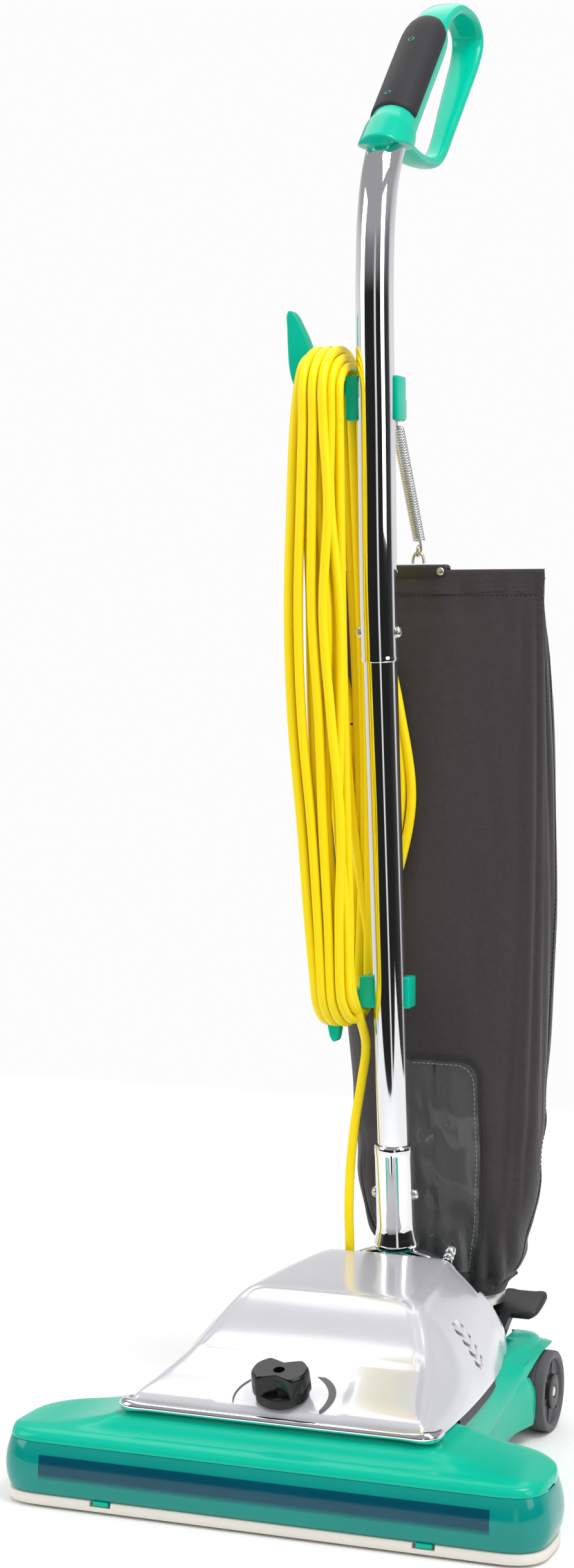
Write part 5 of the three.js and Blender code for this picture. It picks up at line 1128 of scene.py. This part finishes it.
# slack: the shell starts a little too wide, so the cloth has folds to make
for v in me.vertices:
    z, x = v.co.z * 1000, v.co.x * 1000
    cxy = smooth_table(BAG, z)
    k = 0.020 * math.sin(math.pi * min(1, max(0, (z - 112) / 610)))
    v.co.x += (v.co.x - (cxy[0] + cxy[1]) / 2000) * k
    v.co.y += (v.co.y - (cxy[2] + SHIFT) / 1000) * k
    v.co.z += 0.0012 * noise.noise(Vector((x * 0.03, z * 0.03, 2.2))) if vg.weight(v.index) == 0 else 0
cm = bag.modifiers.new("cloth", "CLOTH")
cs = cm.settings
cs.quality = 7
cs.mass = 0.25
cs.tension_stiffness, cs.compression_stiffness, cs.shear_stiffness, cs.bending_stiffness = 18, 12, 5, 0.35
cs.tension_damping = cs.compression_damping = cs.shear_damping = 6
cs.air_damping = 2
cs.vertex_group_mass = "pin"
cs.use_pressure = True
cs.uniform_pressure_force = 1.1
cs.use_internal_springs = False
cm.collision_settings.use_collision = False
cm.collision_settings.use_self_collision = False
sc = bpy.context.scene
sc.frame_start, sc.frame_end = 1, 26
for fr in range(1, 27):
    sc.frame_set(fr)
dg = bpy.context.evaluated_depsgraph_get()
ev = bag.evaluated_get(dg).to_mesh()
sim = [v.co.copy() for v in ev.vertices]
bag.evaluated_get(dg).to_mesh_clear()
bag.modifiers.clear()
sc.frame_set(1)
for v, s, q in zip(me.vertices, start, sim):
    d = q - s
    if d.length > 0.005:
        d = d.normalized() * (0.005 + 0.002 * math.tanh((d.length - 0.005) / 0.01))
    v.co = s + d
me.update()

sub = bag.modifiers.new("ss", "SUBSURF")
sub.levels = sub.render_levels = 1
apply_mods(bag)
me = bag.data
me.update()
nrm = [v.normal.copy() for v in me.vertices]
for v, n in zip(me.vertices, nrm):
    z, x = v.co.z * 1000, v.co.x * 1000
    fade = min(1, max(0, (z - 100) / 16)) * min(1, max(0, (734 - z) / 14))
    side = min(1, abs(n.y) * 1.6)
    v.co += n * (bag_wrinkle(v.co, n, z, x) * fade * (0.25 + 0.75 * side) / 1000)
shade(bag, 70)
# thickness of the cloth, so that the neck's edge isn't a knife
so = bag.modifiers.new("so", "SOLIDIFY")
so.thickness, so.offset = 0.0012, 1
apply_mods(bag)
bag.name = "dust_bag_cloth"
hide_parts("dust_bag")

from mathutils.bvhtree import BVHTree
tree = BVHTree.FromObject(bag, bpy.context.evaluated_depsgraph_get())


def on_bag(x, z, lift=0.0):
    """A point on the bag's front face, at X and Z in millimetres, and its normal."""
    hit, n, _, _ = tree.ray_cast(P(x, -200, z), Vector((0, 1, 0)), 1.0)
    if hit is None:
        hit, n = P(x, 72, z), Vector((0, -1, 0))
    if n.y > 0:
        n = -n
    return hit + n * (lift / 1000), n


def on_bag_u(u, z, lift=0.0):
    """A point round the bag at u, found from its axis outwards."""
    a = bag_point(u, z)
    l, r, yc, h = smooth_table(BAG, z)
    c = P((l + r) / 2, yc, z)
    c = Vector((c.x + (a.x - c.x) * 0.35, c.y, z / 1000))
    hit, n, _, _ = tree.ray_cast(c, (a - c).normalized(), 0.5)
    if hit is None:
        return a, (a - c).normalized()
    if n.dot(a - c) < 0:
        n = -n
    return hit + n * ((1.2 + lift) / 1000), n


def strip(name, line, width, thick, mat, rows=2):
    """line: list of (point, normal, across); a thin tape laid on a surface."""
    rings = []
    for p, n, s in line:
        rings.append([p - s * (width / 2), p - s * (width / 2) + n * thick, p + n * thick * 1.15, p + s * (width / 2) + n * thick, p + s * (width / 2), p - n * thick * 0.5])
    v, f = loft(rings)
    o = raw(name, v, f, mat)
    shade(o, 50)
    return o


def along(pts_n):
    out = []
    for i, (p, n) in enumerate(pts_n):
        t = (pts_n[min(i + 1, len(pts_n) - 1)][0] - pts_n[max(i - 1, 0)][0]).normalized()
        out.append((p, n, n.cross(t).normalized()))
    return out


soft = []
# seams down the two side edges of the bag, with a felled tape and its stitches
for u0, nm in ((0.003, "left"), (0.497, "right")):
    ln = along([on_bag_u(u0, z) for z in np.linspace(126, 730, 150)])
    soft.append(strip("bag_seam_" + nm, ln, 0.0036, 0.0007, CLOTH))
# hem below the clip bar
hem = along([on_bag_u(u, 722 + 1.2 * math.sin(u * 40)) for u in np.linspace(0.0, 1.0, 170)])
soft.append(strip("bag_hem_top", hem, 0.008, 0.0004, CLOTH))
neck = along([on_bag_u(u, 116) for u in np.linspace(0.0, 1.0, 120)])
soft.append(strip("bag_hem_neck", neck, 0.012, 0.0009, SEAM))


def stitches(name, pts_n, gap=0.0042, size=0.0026, r=0.00028, mat=THREAD, body=None):
    pts = [p for p, n in pts_n]
    s = np.concatenate([[0], np.cumsum([(b - a).length for a, b in zip(pts, pts[1:])])])
    vs, fs = [], []
    d = 0.0
    arr = np.array([list(p) for p in pts])
    na = np.array([list(n) for p, n in pts_n])
    at = lambda q, A: Vector([np.interp(q, s, A[:, k]) for k in range(3)])
    while d + size < s[-1]:
        a, m, b = at(d, arr), at(d + size / 2, arr), at(d + size, arr)
        n = at(d + size / 2, na).normalized()
        a2, b2, m2 = a - n * 0.0002, b - n * 0.0002, m + n * 0.0004
        line = [a2, a * 0.5 + m * 0.5 + n * 0.00032, m2, b * 0.5 + m * 0.5 + n * 0.00032, b2]
        v, f = loft(tube_rings(line, r, 6))
        fs += [tuple(i + len(vs) for i in face) for face in f]
        vs += v
        d += gap
    o = raw(name, vs, fs, mat)
    shade(o, 70)
    return o


for u0, nm in ((0.010, "left"), (0.490, "right")):
    soft.append(stitches("seam_stitches_" + nm, [on_bag_u(u0, z, 0.1) for z in np.linspace(130, 716, 260)]))
soft.append(stitches("hem_stitches", [on_bag_u(u, 716, 0.1) for u in np.linspace(0.02, 0.48, 120)]))

# clear pocket on the bag's front
GX, GZ = 30, 60
Z0, Z1 = 128.0, 316.0
right_of = lambda z: float(np.interp(z, [128, 160, 200, 260, 290, 303, 311, 316], [60, 65, 67.5, 68, 67.5, 65.5, 60, 50]))
left_of = lambda z: float(np.interp(z, [128, 300, 311, 316], [-6, -10, -9, -4]))
rows = []
for i in range(GZ + 1):
    z = Z0 + (Z1 - Z0) * i / GZ
    xr, xl = right_of(z), left_of(z)
    row = []
    for j in range(GX + 1):
        t = j / GX
        x = xl + (xr - xl) * t
        b = math.sin(math.pi * t) ** 0.6 * math.sin(math.pi * min(1, i / GZ)) ** 0.5
        lift = 0.7 + 2.0 * b + 1.6 * b * noise.noise(Vector((x * 0.06, z * 0.022, 4.4))) + 0.5 * b * math.sin(x * 0.30 + z * 0.05)
        p, n = on_bag(x, z, max(0.4, lift))
        row.append(p)
    rows.append(row)
# ease the sheet, because film doesn't follow every fold of the cloth
for _ in range(4):
    new = [[p.copy() for p in r] for r in rows]
    for i in range(1, GZ):
        for j in range(1, GX):
            m = (rows[i - 1][j] + rows[i + 1][j] + rows[i][j - 1] + rows[i][j + 1]) / 4
            q = rows[i][j] * 0.5 + m * 0.5
            new[i][j] = Vector((q.x, min(q.y, rows[i][j].y + 0.0001), q.z))
    rows = new
verts = [p for r in rows for p in r]
faces = [(i * (GX + 1) + j, i * (GX + 1) + j + 1, (i + 1) * (GX + 1) + j + 1, (i + 1) * (GX + 1) + j) for i in range(GZ) for j in range(GX)]
pocket = raw("pocket_film", verts, faces, VINYL)
sb2 = pocket.modifiers.new("s", "SUBSURF")
sb2.levels = sb2.render_levels = 1
apply_mods(pocket)
so = pocket.modifiers.new("so", "SOLIDIFY")
so.thickness, so.offset = 0.0004, 0
apply_mods(pocket)
shade(pocket, 60)
soft.append(pocket)
# the film's binding and its stitched line
edge = [(right_of(z), z) for z in (130, 160, 200, 240, 275, 294)] + [(66.6, 303), (63.5, 309.5), (57, 314.4), (48, 316)] + [(x, 316) for x in (36, 20, 4)]
ep = catmull([(x, 0, z) for x, z in edge], 150)
ln = along([on_bag(p.x, p.z, 0.9) for p in ep])
soft.append(strip("pocket_binding", ln, 0.0042, 0.0007, SEAM))
st = [(right_of(z) - 5.5, z) for z in (132, 160, 200, 240, 275, 292)] + [(60.4, 300), (57, 306), (50, 310.4), (42, 311)] + [(x, 311) for x in (30, 16, 4)]
sp2 = catmull([(x, 0, z) for x, z in st], 170)
soft.append(stitches("pocket_stitches", [on_bag(p.x, p.z, 1.9) for p in sp2], mat=material("light_thread", lin(150, 150, 152), 0.7, vary=0.05)))
# the flap's raw edge inside the pocket shows as an upright line through the film
ln = along([on_bag(26 + 1.2 * math.sin(z * 0.03), z, 0.9) for z in np.linspace(132, 310, 70)])
soft.append(strip("pocket_welt", ln, 0.0022, 0.0006, SEAM))

for o in [bag] + soft:
    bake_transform(o)

# ---------------------------------------------------------------- collar clamp
lathe("collar_band", [(33.2, 97.5), (35.0, 97.5), (35.3, 98.2), (35.3, 105.8), (35.0, 106.5), (33.2, 106.5), (33.2, 97.5)], P(42, 72, 0), Vector((0, 0, 1)), STEEL, "base", 96, ("bag_collar_clamp",), "steel")

# ---------------------------------------------------------------- floor, light, world
def plane_mesh(name, x0, x1, y0, y1, z, mat):
    me = bpy.data.meshes.new(name)
    me.from_pydata([(x0, y0, z), (x1, y0, z), (x1, y1, z), (x0, y1, z)], [], [(0, 1, 2, 3)])
    o = bpy.data.objects.new(name, me)
    bpy.context.scene.collection.objects.link(o)
    me.materials.append(mat)
    return o


FLOOR = material("floor_paper", (0.93, 0.93, 0.93, 1), 0.75, vary=0.005, scale=3, bump=0.0, spec=0.15)
# the sheet of paper runs out into the white of the room
fn, fl = FLOOR.node_tree.nodes, FLOOR.node_tree.links
ftc = fn.new("ShaderNodeTexCoord")
fmul = fn.new("ShaderNodeVectorMath")
fmul.operation = "MULTIPLY"
fmul.inputs[1].default_value = (1.0, 0.9, 0)
fl.new(ftc.outputs["Object"], fmul.inputs[0])
flen = fn.new("ShaderNodeVectorMath")
flen.operation = "LENGTH"
fl.new(fmul.outputs[0], flen.inputs[0])
fmr = fn.new("ShaderNodeMapRange")
fmr.interpolation_type = "SMOOTHSTEP"
fmr.inputs["From Min"].default_value = 0.30
fmr.inputs["From Max"].default_value = 0.85
fl.new(flen.outputs["Value"], fmr.inputs["Value"])
fem = fn.new("ShaderNodeEmission")
fem.inputs["Color"].default_value = (1, 1, 1, 1)
fem.inputs["Strength"].default_value = 1.0
fmx = fn.new("ShaderNodeMixShader")
fl.new(fmr.outputs["Result"], fmx.inputs[0])
fl.new(fn["Principled BSDF"].outputs[0], fmx.inputs[1])
fl.new(fem.outputs[0], fmx.inputs[2])
fl.new(fmx.outputs[0], fn["Material Output"].inputs["Surface"])
floor = plane_mesh("floor", -1.3, 1.3, -0.75, 1.6, 0.0, FLOOR)

world = bpy.data.worlds.new("studio")
bpy.context.scene.world = world
world.use_nodes = True
nt = world.node_tree
n, l = nt.nodes, nt.links
bg = n["Background"]
tc = n.new("ShaderNodeTexCoord")
sep = n.new("ShaderNodeSeparateXYZ")
l.new(tc.outputs["Generated"], sep.inputs[0])
ang = n.new("ShaderNodeMath")
ang.operation = "ARCTAN2"
l.new(sep.outputs["X"], ang.inputs[0])
l.new(sep.outputs["Y"], ang.inputs[1])
mr = n.new("ShaderNodeMapRange")
mr.inputs["From Min"].default_value = -math.pi
mr.inputs["From Max"].default_value = math.pi
l.new(ang.outputs[0], mr.inputs["Value"])
cr = n.new("ShaderNodeValToRGB")
l.new(mr.outputs["Result"], cr.inputs["Fac"])
el = cr.color_ramp.elements
# azimuth 0 is +Y (behind the object), counted towards +X; the tubes mirror the dark studio behind the camera, and white panels beside it
stops = [(0.0, 0.02), (0.14, 0.02), (0.20, 0.10), (0.225, 0.85), (0.30, 0.95), (0.5, 0.95), (0.65, 0.95), (0.672, 0.85), (0.70, 0.06), (0.80, 0.02), (0.926, 0.02), (0.936, 1.0), (0.952, 1.0), (0.962, 0.02), (1.0, 0.02)]
el[0].position, el[0].color = stops[0][0], (stops[0][1],) * 3 + (1,)
el[1].position, el[1].color = stops[-1][0], (stops[-1][1],) * 3 + (1,)
for pos, c in stops[1:-1]:
    e = el.new(pos)
    e.color = (c, c, c * 1.02, 1)
# the dark band is only as tall as the room's front wall; the ceiling is a soft grey
up_r = n.new("ShaderNodeMapRange")
up_r.inputs["From Min"].default_value = 0.10
up_r.inputs["From Max"].default_value = 0.34
l.new(sep.outputs["Z"], up_r.inputs["Value"])
upc = n.new("ShaderNodeMix")
upc.data_type = "RGBA"
l.new(up_r.outputs["Result"], upc.inputs[0])
l.new(cr.outputs["Color"], upc.inputs[6])
upc.inputs[7].default_value = (0.42, 0.42, 0.43, 1)
lpn = n.new("ShaderNodeLightPath")
mixc = n.new("ShaderNodeMix")
mixc.data_type = "RGBA"
l.new(lpn.outputs["Is Glossy Ray"], mixc.inputs[0])
mixc.inputs[6].default_value = (0.80, 0.80, 0.80, 1)
l.new(upc.outputs[2], mixc.inputs[7])
camc = n.new("ShaderNodeMix")
camc.data_type = "RGBA"
l.new(lpn.outputs["Is Camera Ray"], camc.inputs[0])
l.new(mixc.outputs[2], camc.inputs[6])
camc.inputs[7].default_value = (1.15, 1.15, 1.15, 1)
l.new(camc.outputs[2], bg.inputs["Color"])
bg.inputs["Strength"].default_value = 0.85


def area(name, loc, aim, size, power, sy=None, color=(1, 1, 1)):
    d = bpy.data.lights.new(name, "AREA")
    d.shape = "RECTANGLE"
    d.size, d.size_y = size, sy or size
    d.energy = power
    d.color = color
    o = bpy.data.objects.new(name, d)
    bpy.context.scene.collection.objects.link(o)
    o.location = loc
    o.rotation_mode = "QUATERNION"
    o.rotation_quaternion = (Vector(aim) - Vector(loc)).to_track_quat("-Z", "Y")
    return o


area("top_soft", (1.1, -0.5, 2.7), (0.1, -0.1, 0.2), 1.1, 34)
area("top_wide", (-0.8, 1.2, 3.0), (0, 0, 0.4), 2.4, 26)
area("left_soft", (-2.4, -1.4, 1.5), (0, 0, 0.5), 1.4, 26, 2.0)
area("right_soft", (2.6, -1.2, 1.6), (0, 0, 0.5), 1.2, 20, 2.0)
